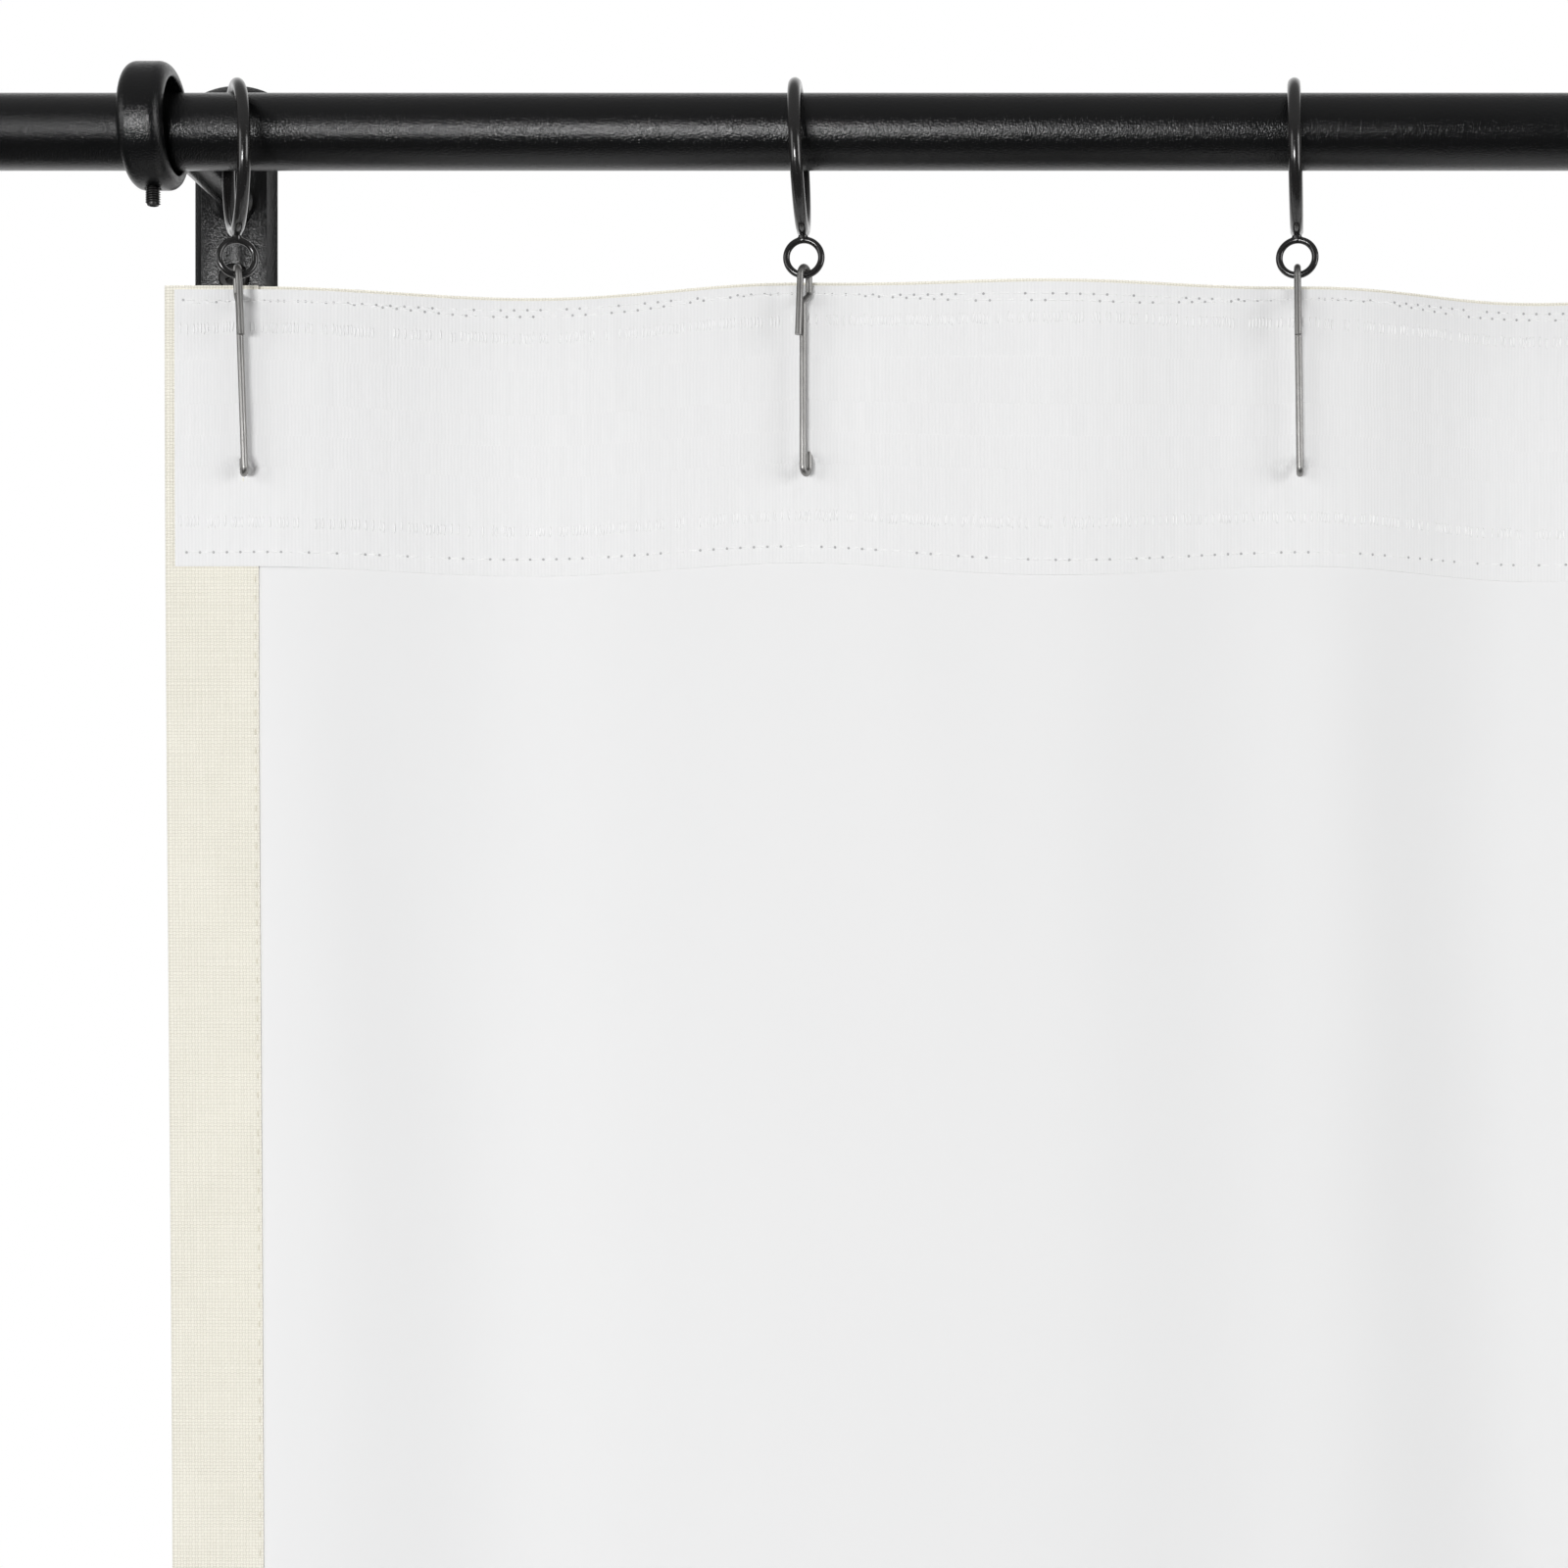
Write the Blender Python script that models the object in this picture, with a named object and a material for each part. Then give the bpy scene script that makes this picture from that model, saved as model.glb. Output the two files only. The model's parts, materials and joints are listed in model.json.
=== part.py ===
"""Lined curtain panel hooked on rings, on a one-inch rod carried by two wall brackets.

Metres. The origin is the centre of the left wall plate's back face, at the height of the arm's foot.
+X runs along the rod to the right, +Y points into the wall and +Z points up. The room is at -Y, and
the panel hangs with its lining towards the room.
"""

import math

import bmesh
import bpy
from mathutils import Matrix, Vector

# ---- clearances -----------------------------------------------------------------------------
GAP = 0.0003                 # between two pieces that touch on the real object
LAYER_GAP = 0.0003           # between two layers of cloth

# ---- rod ------------------------------------------------------------------------------------
ROD_DIAMETER = 0.0254
ROD_TUBE_WALL = 0.0012
ROD_TO_WALL = 0.1143         # rod axis to wall
ROD_DROP = 0.0048            # rod axis below the arm's foot
ROD_OVERHANG = 0.085         # rod end beyond the bracket's centre
CAP_LIP = 0.001              # head's radius beyond the rod's
CAP_HEAD_LENGTH = 0.009
CAP_PLUG_LENGTH = 0.014
CAP_EDGE = 0.0022            # bevel round the cap's outer face

# ---- bracket --------------------------------------------------------------------------------
COLLAR_CLEARANCE = 0.0034     # between the rod and the bore, were they on one axis
COLLAR_WALL = 0.005
COLLAR_WIDTH = 0.0145
COLLAR_EDGE = 0.0045         # rounding of the collar's outer edges
COLLAR_CHAMFER = 0.0006
COLLAR_LOW_GAP = 0.0015      # under the rod, which hangs low in the bore
ARM_DIAMETER = 0.0078
ARM_FOOT_DIAMETER = 0.0161
ARM_FOOT_LENGTH = 0.0035
ARM_FOOT_FLARE = 0.004       # length of the cone between the arm and its foot

PLATE_WIDTH = 0.032
PLATE_HEIGHT = 0.0934
PLATE_THICKNESS = 0.0045
PLATE_RIM = 0.001            # straight edge behind the bevel
PLATE_BEVEL = 0.0033
PLATE_ARCH_RADIUS = 0.030

SCREW_SPACING = 0.0585
SCREW_SHANK_DIAMETER = 0.0042
SCREW_SHANK_LENGTH = 0.032   # behind the head
SCREW_POINT = 0.005
SCREW_HEAD_DIAMETER = 0.0115
SCREW_HEAD_HEIGHT = 0.0030
SCREW_HEAD_CROWN = ((1.0, 0.45), (0.75, 0.8), (0.3, 1.0))   # shares of the head's height and radius
SCREW_TIP_RADIUS = 0.0004

SET_SCREW_DIAMETER = 0.005
SET_SCREW_LENGTH = 0.012
SET_SCREW_CHAMFER = 0.0006
SET_SCREW_CLEARANCE = 0.0003

# ---- rings, eyelets and hooks ---------------------------------------------------------------
RING_INNER_DIAMETER = 0.0438
RING_WIRE = 0.0043
EYELET_OUTER_DIAMETER = 0.0142
EYELET_WIRE = 0.00235
HOOK_WIRE = 0.0023
HOOK_CROOK_RADIUS = 0.0031   # centre line
HOOK_DROP = 0.0669           # centre line of the U-bend below the eyelet's wire
HOOK_SHAFT_TO_PRONG = 0.0044
HOOK_TIP_DROP = 0.0209       # front leg's tip below the eyelet's wire
HOOK_TIP_REACH = 0.0047      # front leg's tip in front of the eyelet's wire
HOOK_LEG_BEND = ((0.5, 0.95), (0.2, 0.76))   # shares of the front leg's drop and reach
HOOK_JOG_TOP = 0.0052
HOOK_JOG_BOTTOM = 0.0112
PRONG_TOP_DROP = 0.0125
HOOK_JOG_EASE = 0.3          # share of the jog taken by each of its bends
PRONG_POINT = 0.0015
PRONG_TIP_RADIUS = 0.0004
STITCHED_SHARE = 0.6         # where the tape holds a hook, down its length

RING_INSET = 0.0278          # first and last ring from their bracket's centre
RING_GAPS = (0.1897, 0.1683, 0.186, 0.172, 0.182, 0.168, 0.178)
WAVE_DEPTHS = (0.018, -0.012, 0.026, -0.014, 0.020, -0.011, 0.018)   # towards the wall is positive
RING_TURNS = (20.0, -4.0, -13.8, 9.0, -6.0, 12.0, -10.0, 7.0)        # degrees about the vertical
RING_LEANS = (0.7, 2.6, 1.0, -0.8, 1.4, 0.5, -1.2, 0.9)              # degrees, foot to the right
HOOK_TURNS = (20.0, -28.0, -13.8, 14.0, -9.0, 16.0, -14.0, 8.0)
HOOK_LEANS = (2.0, 0.0, 0.7, -0.8, 0.9, 0.4, -1.0, 1.1)

# ---- cloth ----------------------------------------------------------------------------------
PANEL_HEIGHT = 2.134
PANEL_EDGE = 0.0248          # side edge beyond the first and last ring
PANEL_TOP_DROP = 0.0022      # top edge below the eyelet's wire
TAPE_TOP_INSET = 0.0015      # the face cloth stands above the tape
LINING_TOP_INSET = 0.003
TAPE_SIDE_INSET = 0.0032
TAPE_HEIGHT = 0.0948
FACE_THICKNESS = 0.0006
LINING_THICKNESS = 0.0004
TAPE_THICKNESS = 0.0006
ROW_THICKNESS = 0.0006
ROW_SIDE_INSET = 0.004
UPPER_ROW_DROP = 0.0278      # upper pocket row's top edge below the eyelet's wire
UPPER_ROW_HEIGHT = 0.015
LOWER_ROW_DROP = 0.0535
LOWER_ROW_HEIGHT = 0.0106
SIDE_HEM_WIDTH = 0.0318
BOTTOM_HEM_HEIGHT = 0.080
LINING_BOTTOM_INSET = 0.002
HOOK_FLAT = 0.012            # width of the flat stretch of cloth at each hook
ROW_RAMP = 0.008             # along the rod, from the tape out to the front of a prong
WAVE_STEPS = 4

# ---- roundness ------------------------------------------------------------------------------
ROD_SIDES = 32
RING_SIDES = 24
EYELET_SIDES = 16
WIRE_SIDES = 6
ROUND_SIDES = 16
ARCH_STEPS = 8
CORNER_STEPS = 3
CREASE_ANGLE = 35            # degrees; a sharper fold than this is drawn as an edge

# ---- worked out from the sizes above --------------------------------------------------------
ROD_RADIUS = ROD_DIAMETER / 2
ROD_Y = -ROD_TO_WALL
ROD_Z = -ROD_DROP
COLLAR_BORE_RADIUS = ROD_RADIUS + COLLAR_CLEARANCE
COLLAR_OUTER_RADIUS = COLLAR_BORE_RADIUS + COLLAR_WALL
COLLAR_Z = ROD_Z + COLLAR_CLEARANCE - COLLAR_LOW_GAP
RING_XS = [RING_INSET + sum(RING_GAPS[:k]) for k in range(len(RING_GAPS) + 1)]
BRACKET_SPAN = RING_XS[-1] + RING_INSET
RING_TOP_Z = ROD_Z + ROD_RADIUS + GAP
EYELET_RING_RADIUS = (EYELET_OUTER_DIAMETER - EYELET_WIRE) / 2
EYELET_DROP = RING_INNER_DIAMETER + RING_WIRE + GAP + EYELET_OUTER_DIAMETER / 2
PIVOT_DROP = EYELET_DROP + EYELET_RING_RADIUS          # ring top to the eyelet's lower wire
PIVOT_Z = RING_TOP_Z - PIVOT_DROP
PANEL_TOP = PIVOT_Z - PANEL_TOP_DROP
PANEL_BOTTOM = PANEL_TOP - PANEL_HEIGHT
PANEL_LEFT = RING_XS[0] - PANEL_EDGE
PANEL_RIGHT = RING_XS[-1] + PANEL_EDGE

# Depths behind the eyelet's wire, from the room towards the wall.
PRONG_DEPTH = HOOK_CROOK_RADIUS
SHAFT_DEPTH = PRONG_DEPTH - HOOK_SHAFT_TO_PRONG
ROW_FRONT = (PRONG_DEPTH + SHAFT_DEPTH - ROW_THICKNESS) / 2
TAPE_FRONT = PRONG_DEPTH + HOOK_WIRE / 2 + GAP
ROW_REST = TAPE_FRONT - LAYER_GAP - ROW_THICKNESS
HEM_FRONT = TAPE_FRONT + TAPE_THICKNESS + LAYER_GAP
LINING_FRONT = HEM_FRONT + FACE_THICKNESS + LAYER_GAP
FACE_FRONT = LINING_FRONT + LINING_THICKNESS + LAYER_GAP


def clear_scene():
    for old in list(bpy.data.objects):
        bpy.data.objects.remove(old, do_unlink=True)


def finish_material(name, colour, roughness, metallic):
    material = bpy.data.materials.new(name)
    material.use_nodes = True
    shader = material.node_tree.nodes["Principled BSDF"]
    shader.inputs["Base Color"].default_value = (*colour, 1.0)
    shader.inputs["Roughness"].default_value = roughness
    shader.inputs["Metallic"].default_value = metallic
    return material


def add_object(name, mesh_builder, material, smooth=True):
    """A mesh object from a bmesh, with its normals pointing out."""
    bmesh.ops.recalc_face_normals(mesh_builder, faces=mesh_builder.faces)
    mesh = bpy.data.meshes.new(name)
    mesh_builder.to_mesh(mesh)
    mesh_builder.free()
    if smooth:
        mesh.shade_smooth()
        mesh.set_sharp_from_angle(angle=math.radians(CREASE_ANGLE))
    mesh.materials.append(material)
    piece = bpy.data.objects.new(name, mesh)
    bpy.context.scene.collection.objects.link(piece)
    return piece


def loft(builder, loops, close_ends=True, close_round=False):
    """Joins loops of equal length into a skin, with a face on each end."""
    rows = [[builder.verts.new(point) for point in loop] for loop in loops]
    pairs = list(zip(rows, rows[1:]))
    if close_round:
        pairs.append((rows[-1], rows[0]))
    for low, high in pairs:
        count = len(low)
        for i in range(count):
            builder.faces.new((low[i], low[(i + 1) % count], high[(i + 1) % count], high[i]))
    if close_ends and not close_round:
        builder.faces.new(rows[0])
        builder.faces.new(rows[-1])


def circle(radius, sides, phase=0.0):
    angles = [phase + 2 * math.pi * i / sides for i in range(sides)]
    return [(radius * math.cos(a), radius * math.sin(a)) for a in angles]


def turned(profile, sides, closed):
    """A solid turned about the X axis from (x, radius) points. A closed profile makes a ring."""
    builder = bmesh.new()
    loops = [[(x, y, z) for y, z in circle(radius, sides)] for x, radius in profile]
    loft(builder, loops, close_round=closed)
    return builder


def ring_mesh(centre_radius, wire_radius, sides):
    """A wire ring in the YZ plane about its own centre, with a corner of the wire facing inwards."""
    profile = [(y, centre_radius + z) for y, z in circle(wire_radius, WIRE_SIDES, math.pi / 2)]
    builder = bmesh.new()
    loops = [[(x, z, y) for y, z in circle(radius, sides)] for x, radius in profile]
    loft(builder, loops, close_round=True)
    return builder


def helper(piece):
    """Hides a cutting or joining shape that isn't a piece of its own."""
    piece.hide_render = True
    piece.display_type = "WIRE"
    return piece


def combine(piece, other, operation):
    step = piece.modifiers.new(other.name, "BOOLEAN")
    step.operation = operation
    step.solver = "EXACT"
    step.object = other


# ---- rod ------------------------------------------------------------------------------------
def make_rod(paint):
    length = BRACKET_SPAN + 2 * ROD_OVERHANG
    bore = ROD_RADIUS - ROD_TUBE_WALL
    profile = [(0, ROD_RADIUS), (length, ROD_RADIUS), (length, bore), (0, bore)]
    rod = add_object("rod", turned(profile, ROD_SIDES, closed=True), paint)
    rod.location = (-ROD_OVERHANG, ROD_Y, ROD_Z)


def make_end_cap(name, x, direction, paint):
    """A plain plug: a bevelled head against the tube's end, and a plug inside its bore."""
    head = ROD_RADIUS + CAP_LIP
    plug = ROD_RADIUS - ROD_TUBE_WALL - GAP
    profile = [
        (-CAP_PLUG_LENGTH, plug),
        (GAP, plug),
        (GAP, head),
        (GAP + CAP_HEAD_LENGTH - CAP_EDGE, head),
        (GAP + CAP_HEAD_LENGTH, head - CAP_EDGE),
    ]
    points = [(direction * along, radius) for along, radius in profile]
    cap = add_object(name, turned(points, ROD_SIDES, closed=False), paint)
    cap.location = (x, ROD_Y, ROD_Z)


# ---- brackets -------------------------------------------------------------------------------
def plate_outline(inset, y):
    """The plate's arched outline, drawn in by inset, in the plane at depth y."""
    half_width = PLATE_WIDTH / 2 - inset
    radius = PLATE_ARCH_RADIUS - inset
    arch_centre = PLATE_HEIGHT / 2 - PLATE_ARCH_RADIUS
    reach = math.asin(half_width / radius)
    points = []
    for side in (1, -1):
        for step in range(ARCH_STEPS + 1):
            angle = side * reach * (1 - 2 * step / ARCH_STEPS)
            height = arch_centre + radius * math.cos(angle)
            points.append((radius * math.sin(angle), y, side * height))
    return points


def make_wall_plate(name, x, paint):
    builder = bmesh.new()
    loft(builder, [
        plate_outline(0, 0),
        plate_outline(0, -PLATE_RIM),
        plate_outline(PLATE_BEVEL, -PLATE_THICKNESS),
    ])
    plate = add_object(name, builder, paint)
    plate.location = (x, 0, 0)
    for place in (-1, 1):
        hole = turned([(-PLATE_THICKNESS, SCREW_SHANK_DIAMETER / 2 + GAP),
                       (PLATE_THICKNESS * 2, SCREW_SHANK_DIAMETER / 2 + GAP)], ROUND_SIDES, closed=False)
        cutter = helper(add_object(f"{name}_hole_{place + 2}", hole, paint))
        cutter.rotation_euler.z = -math.pi / 2
        cutter.location = (x, 0, place * SCREW_SPACING / 2)
        combine(plate, cutter, "DIFFERENCE")


def collar_profile():
    """Section of the collar as (x, radius): chamfered bore and a rounded crown."""
    half = COLLAR_WIDTH / 2
    bore = COLLAR_BORE_RADIUS
    crown = COLLAR_OUTER_RADIUS
    edge = COLLAR_EDGE
    chamfer = COLLAR_CHAMFER
    points = [(-half, bore + chamfer), (-half + chamfer, bore), (half - chamfer, bore), (half, bore + chamfer)]
    for step in range(CORNER_STEPS * 2 + 2):
        side = 1 if step <= CORNER_STEPS else -1
        angle = math.pi / 2 * (step - (side < 0)) / CORNER_STEPS
        along = side * (half - edge) + edge * math.cos(angle)
        points.append((along, crown - edge + edge * math.sin(angle)))
    return points


def make_bracket_arm(name, x, paint):
    """Collar round the rod, a round arm back to the wall plate and its flared foot, as one casting."""
    collar = add_object(name, turned(collar_profile(), ROD_SIDES, closed=True), paint)
    collar.location = (x, ROD_Y, COLLAR_Z)

    foot_face = -(PLATE_THICKNESS + GAP)
    start = Vector((x, ROD_Y + COLLAR_BORE_RADIUS + COLLAR_WALL / 2, COLLAR_Z))
    end = Vector((x, foot_face, 0))
    foot = ARM_FOOT_DIAMETER / 2
    arm = ARM_DIAMETER / 2
    rise = end.z - start.z
    run = end.y - start.y
    stations = [
        (start.y, arm),
        (end.y - ARM_FOOT_LENGTH - ARM_FOOT_FLARE, arm),
        (end.y - ARM_FOOT_LENGTH, foot),
        (end.y, foot),
    ]
    builder = bmesh.new()
    loops = []
    for y, radius in stations:
        height = start.z + rise * min(1, (y - start.y) / (run - ARM_FOOT_LENGTH))
        loops.append([(x + u, y, height + v) for u, v in circle(radius, ROUND_SIDES)])
    loft(builder, loops)
    shaft = helper(add_object(f"{name}_shaft", builder, paint))
    combine(collar, shaft, "UNION")

    hole_radius = SET_SCREW_DIAMETER / 2 + SET_SCREW_CLEARANCE
    hole = turned([(0, hole_radius), (COLLAR_OUTER_RADIUS * 2, hole_radius)], ROUND_SIDES, closed=False)
    cutter = helper(add_object(f"{name}_hole", hole, paint))
    cutter.rotation_euler.y = math.pi / 2
    cutter.location = (x, ROD_Y, COLLAR_Z)
    combine(collar, cutter, "DIFFERENCE")


def make_set_screw(name, x, steel):
    """A headless screw up through the collar's underside, with its tip under the rod."""
    radius = SET_SCREW_DIAMETER / 2
    narrow = radius - SET_SCREW_CHAMFER
    profile = [
        (0, narrow),
        (SET_SCREW_CHAMFER, radius),
        (SET_SCREW_LENGTH - SET_SCREW_CHAMFER, radius),
        (SET_SCREW_LENGTH, narrow),
    ]
    screw = add_object(name, turned(profile, ROUND_SIDES, closed=False), steel)
    screw.rotation_euler.y = math.pi / 2
    screw.location = (x, ROD_Y, ROD_Z - ROD_RADIUS - GAP)


def make_wall_screw(name, x, z, steel):
    """A round-headed wood screw, its head on the plate and its shank back into the wall."""
    head = SCREW_HEAD_DIAMETER / 2
    shank = SCREW_SHANK_DIAMETER / 2
    profile = [
        *[(-SCREW_HEAD_HEIGHT * height, head * width) for height, width in SCREW_HEAD_CROWN],
        (0, head),
        (0, shank),
        (SCREW_SHANK_LENGTH - SCREW_POINT, shank),
        (SCREW_SHANK_LENGTH, SCREW_TIP_RADIUS),
    ]
    screw = add_object(name, turned(profile, ROUND_SIDES, closed=False), steel)
    screw.rotation_euler.z = math.pi / 2
    screw.location = (x, -(PLATE_THICKNESS + GAP), z)


# ---- rings, eyelets and hooks ---------------------------------------------------------------
def hanging_place(x, lean, turn, drop):
    """Where a piece hangs: turned about the vertical, then swung sideways about the rod's top."""
    swing = Matrix.Rotation(math.radians(-lean), 4, "Y")
    facing = Matrix.Rotation(math.radians(turn), 4, "Z")
    return Matrix.Translation((x, ROD_Y, RING_TOP_Z)) @ swing @ facing @ Matrix.Translation((0, 0, -drop))


def make_ring(number, x, lean, turn, paint):
    centre_radius = (RING_INNER_DIAMETER + RING_WIRE) / 2
    ring = add_object(f"ring_{number}", ring_mesh(centre_radius, RING_WIRE / 2, RING_SIDES), paint)
    ring.matrix_world = hanging_place(x, lean, turn, RING_INNER_DIAMETER / 2)


def make_eyelet(number, x, lean, turn, paint):
    eyelet = add_object(f"eyelet_{number}", ring_mesh(EYELET_RING_RADIUS, EYELET_WIRE / 2, EYELET_SIDES), paint)
    quarter_turn = Matrix.Rotation(math.pi / 2, 4, "Z")
    eyelet.matrix_world = hanging_place(x, lean, turn, EYELET_DROP) @ quarter_turn


def hook_route():
    """Centre line of a hook in its own plane, as (depth, height) from the eyelet's lower wire."""
    crook_centre = EYELET_WIRE / 2 + GAP + HOOK_WIRE / 2 - HOOK_CROOK_RADIUS
    bend_radius = HOOK_SHAFT_TO_PRONG / 2
    bend_centre_depth = (SHAFT_DEPTH + PRONG_DEPTH) / 2
    bend_centre_height = bend_radius - HOOK_DROP
    route = [(-HOOK_TIP_REACH, -HOOK_TIP_DROP)]
    route += [(-HOOK_TIP_REACH * reach, -HOOK_TIP_DROP * drop) for drop, reach in HOOK_LEG_BEND]
    for angle in (180, 135, 90, 45, 0):
        turn = math.radians(angle)
        depth = HOOK_CROOK_RADIUS * math.cos(turn)
        route.append((depth, crook_centre + HOOK_CROOK_RADIUS * math.sin(turn)))
    jog_fall = (HOOK_JOG_BOTTOM - HOOK_JOG_TOP) * HOOK_JOG_EASE
    jog_shift = HOOK_SHAFT_TO_PRONG * HOOK_JOG_EASE / 2
    route += [
        (PRONG_DEPTH, -HOOK_JOG_TOP),
        (PRONG_DEPTH - jog_shift, -HOOK_JOG_TOP - jog_fall),
        (SHAFT_DEPTH + jog_shift, -HOOK_JOG_BOTTOM + jog_fall),
        (SHAFT_DEPTH, -HOOK_JOG_BOTTOM),
    ]
    for angle in (180, 225, 270, 315, 360):
        turn = math.radians(angle)
        depth = bend_centre_depth + bend_radius * math.cos(turn)
        route.append((depth, bend_centre_height + bend_radius * math.sin(turn)))
    route += [
        (PRONG_DEPTH, -PRONG_TOP_DROP - PRONG_POINT),
        (PRONG_DEPTH, -PRONG_TOP_DROP),
    ]
    return route


def hook_mesh():
    """Round wire swept along the route, narrowed at the prong's point."""
    route = [Vector((0, depth, height)) for depth, height in hook_route()]
    radius = HOOK_WIRE / 2
    side = Vector((1, 0, 0))
    loops = []
    for i, point in enumerate(route):
        ahead = route[min(i + 1, len(route) - 1)] - point
        behind = point - route[max(i - 1, 0)]
        along = (ahead.normalized() + behind.normalized()).normalized()
        across = side.cross(along)
        size = PRONG_TIP_RADIUS if i == len(route) - 1 else radius
        loops.append([point + side * u * size + across * v * size for u, v in circle(1, WIRE_SIDES)])
    builder = bmesh.new()
    loft(builder, loops)
    return builder


def make_hook(number, x, ring_lean, lean, turn, nickel):
    """A hook hung on the eyelet's lower wire."""
    pivot = hanging_place(x, ring_lean, 0, PIVOT_DROP).translation
    swing = Matrix.Rotation(math.radians(-lean), 4, "Y")
    facing = Matrix.Rotation(math.radians(turn), 4, "Z")
    hook = add_object(f"hook_{number}", hook_mesh(), nickel)
    hook.matrix_world = Matrix.Translation(pivot) @ swing @ facing


# ---- cloth ----------------------------------------------------------------------------------
def hook_columns():
    """Where each hook's shaft meets the tape, along the rod."""
    columns = []
    for x, ring_lean, lean in zip(RING_XS, RING_LEANS, HOOK_LEANS):
        pivot = PIVOT_DROP * math.sin(math.radians(ring_lean))
        foot = HOOK_DROP * STITCHED_SHARE * math.sin(math.radians(lean))
        columns.append(x + pivot + foot)
    return columns


def panel_columns():
    """(x, wave depth) along the panel: flat at each hook, waving in between."""
    hooks = hook_columns()
    half_flat = HOOK_FLAT / 2
    columns = [(PANEL_LEFT, 0.0), (hooks[0] - half_flat, 0.0), (hooks[0] + half_flat, 0.0)]
    for hook, following, depth in zip(hooks, hooks[1:], WAVE_DEPTHS):
        start = hook + half_flat
        length = following - half_flat - start
        for step in range(1, WAVE_STEPS + 1):
            share = step / (WAVE_STEPS + 1)
            columns.append((start + share * length, depth * math.sin(math.pi * share) ** 2))
        columns.append((following - half_flat, 0.0))
        columns.append((following + half_flat, 0.0))
    columns.append((PANEL_RIGHT, 0.0))
    return columns


def upright_sheet(name, outline, low, high, cloth):
    """A closed plan outline raised from low to high."""
    builder = bmesh.new()
    loft(builder, [[(x, y, z) for x, y in outline] for z in (low, high)])
    piece = add_object(name, builder, cloth, smooth=False)
    return piece


def wave_at(x):
    """Wave depth at one place, read between the neighbouring columns."""
    columns = panel_columns()
    for (x0, wave0), (x1, wave1) in zip(columns, columns[1:]):
        if x0 <= x <= x1:
            return wave0 + (wave1 - wave0) * (x - x0) / (x1 - x0)
    return 0.0


def cloth_line(left, right, depth):
    """Plan line along the waves from left to right, at one depth behind the eyelets."""
    stops = [left] + [x for x, wave in panel_columns() if left < x < right] + [right]
    return [(x, ROD_Y + depth + wave_at(x)) for x in stops]


def layer_outline(left, right, front, thickness):
    """Plan of one layer of cloth: its front line, then its back line the other way."""
    return cloth_line(left, right, front) + cloth_line(left, right, front + thickness)[::-1]


def face_outline():
    """Plan of the face cloth: the back layer with each side folded forward and in as a hem."""
    turn_left = PANEL_LEFT + FACE_THICKNESS
    turn_right = PANEL_RIGHT - FACE_THICKNESS
    hem_left = PANEL_LEFT + SIDE_HEM_WIDTH
    hem_right = PANEL_RIGHT - SIDE_HEM_WIDTH
    hem_back = HEM_FRONT + FACE_THICKNESS
    back = FACE_FRONT + FACE_THICKNESS

    outline = cloth_line(PANEL_LEFT, hem_left, HEM_FRONT)
    outline += cloth_line(turn_left, hem_left, hem_back)[::-1]
    outline += cloth_line(turn_left, turn_right, FACE_FRONT)
    outline += cloth_line(hem_right, turn_right, hem_back)[::-1]
    outline += cloth_line(hem_right, PANEL_RIGHT, HEM_FRONT)
    outline += cloth_line(PANEL_LEFT, PANEL_RIGHT, back)[::-1]
    return outline


def pocket_row_outline():
    """Plan of a pocket row: it lies on the tape and passes in front of each prong."""
    half_flat = HOOK_FLAT / 2
    reach = half_flat + ROW_RAMP
    hooks = hook_columns()
    near = []
    for hook in hooks:
        for offset, depth in ((-reach, ROW_REST), (-half_flat, ROW_FRONT), (half_flat, ROW_FRONT), (reach, ROW_REST)):
            near.append((hook + offset, ROD_Y + depth + wave_at(hook + offset)))
    left = PANEL_LEFT + ROW_SIDE_INSET
    right = PANEL_RIGHT - ROW_SIDE_INSET
    for x, y in cloth_line(left, right, ROW_REST):
        if min(abs(x - hook) for hook in hooks) > reach:
            near.append((x, y))
    near.sort()
    far = [(x, y + ROW_THICKNESS) for x, y in reversed(near)]
    return near + far


def make_panel(face_cloth, lining_cloth, tape_cloth):
    upright_sheet("face_fabric", face_outline(), PANEL_BOTTOM, PANEL_TOP, face_cloth)
    inner_left = PANEL_LEFT + FACE_THICKNESS + LAYER_GAP
    inner_right = PANEL_RIGHT - FACE_THICKNESS - LAYER_GAP
    lining = layer_outline(inner_left, inner_right, LINING_FRONT, LINING_THICKNESS)
    lining_low = PANEL_BOTTOM + LINING_BOTTOM_INSET
    upright_sheet("lining", lining, lining_low, PANEL_TOP - LINING_TOP_INSET, lining_cloth)
    hem_left = PANEL_LEFT + SIDE_HEM_WIDTH + LAYER_GAP
    hem_right = PANEL_RIGHT - SIDE_HEM_WIDTH - LAYER_GAP
    hem = layer_outline(hem_left, hem_right, HEM_FRONT, FACE_THICKNESS)
    upright_sheet("bottom_hem", hem, PANEL_BOTTOM, PANEL_BOTTOM + BOTTOM_HEM_HEIGHT, face_cloth)

    tape_top = PANEL_TOP - TAPE_TOP_INSET
    tape = layer_outline(PANEL_LEFT + TAPE_SIDE_INSET, PANEL_RIGHT - TAPE_SIDE_INSET, TAPE_FRONT, TAPE_THICKNESS)
    upright_sheet("heading_tape", tape, tape_top - TAPE_HEIGHT, tape_top, tape_cloth)
    for name, drop, height in (
        ("upper_pocket_row", UPPER_ROW_DROP, UPPER_ROW_HEIGHT),
        ("lower_pocket_row", LOWER_ROW_DROP, LOWER_ROW_HEIGHT),
    ):
        top = PIVOT_Z - drop
        upright_sheet(name, pocket_row_outline(), top - height, top, tape_cloth)


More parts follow.
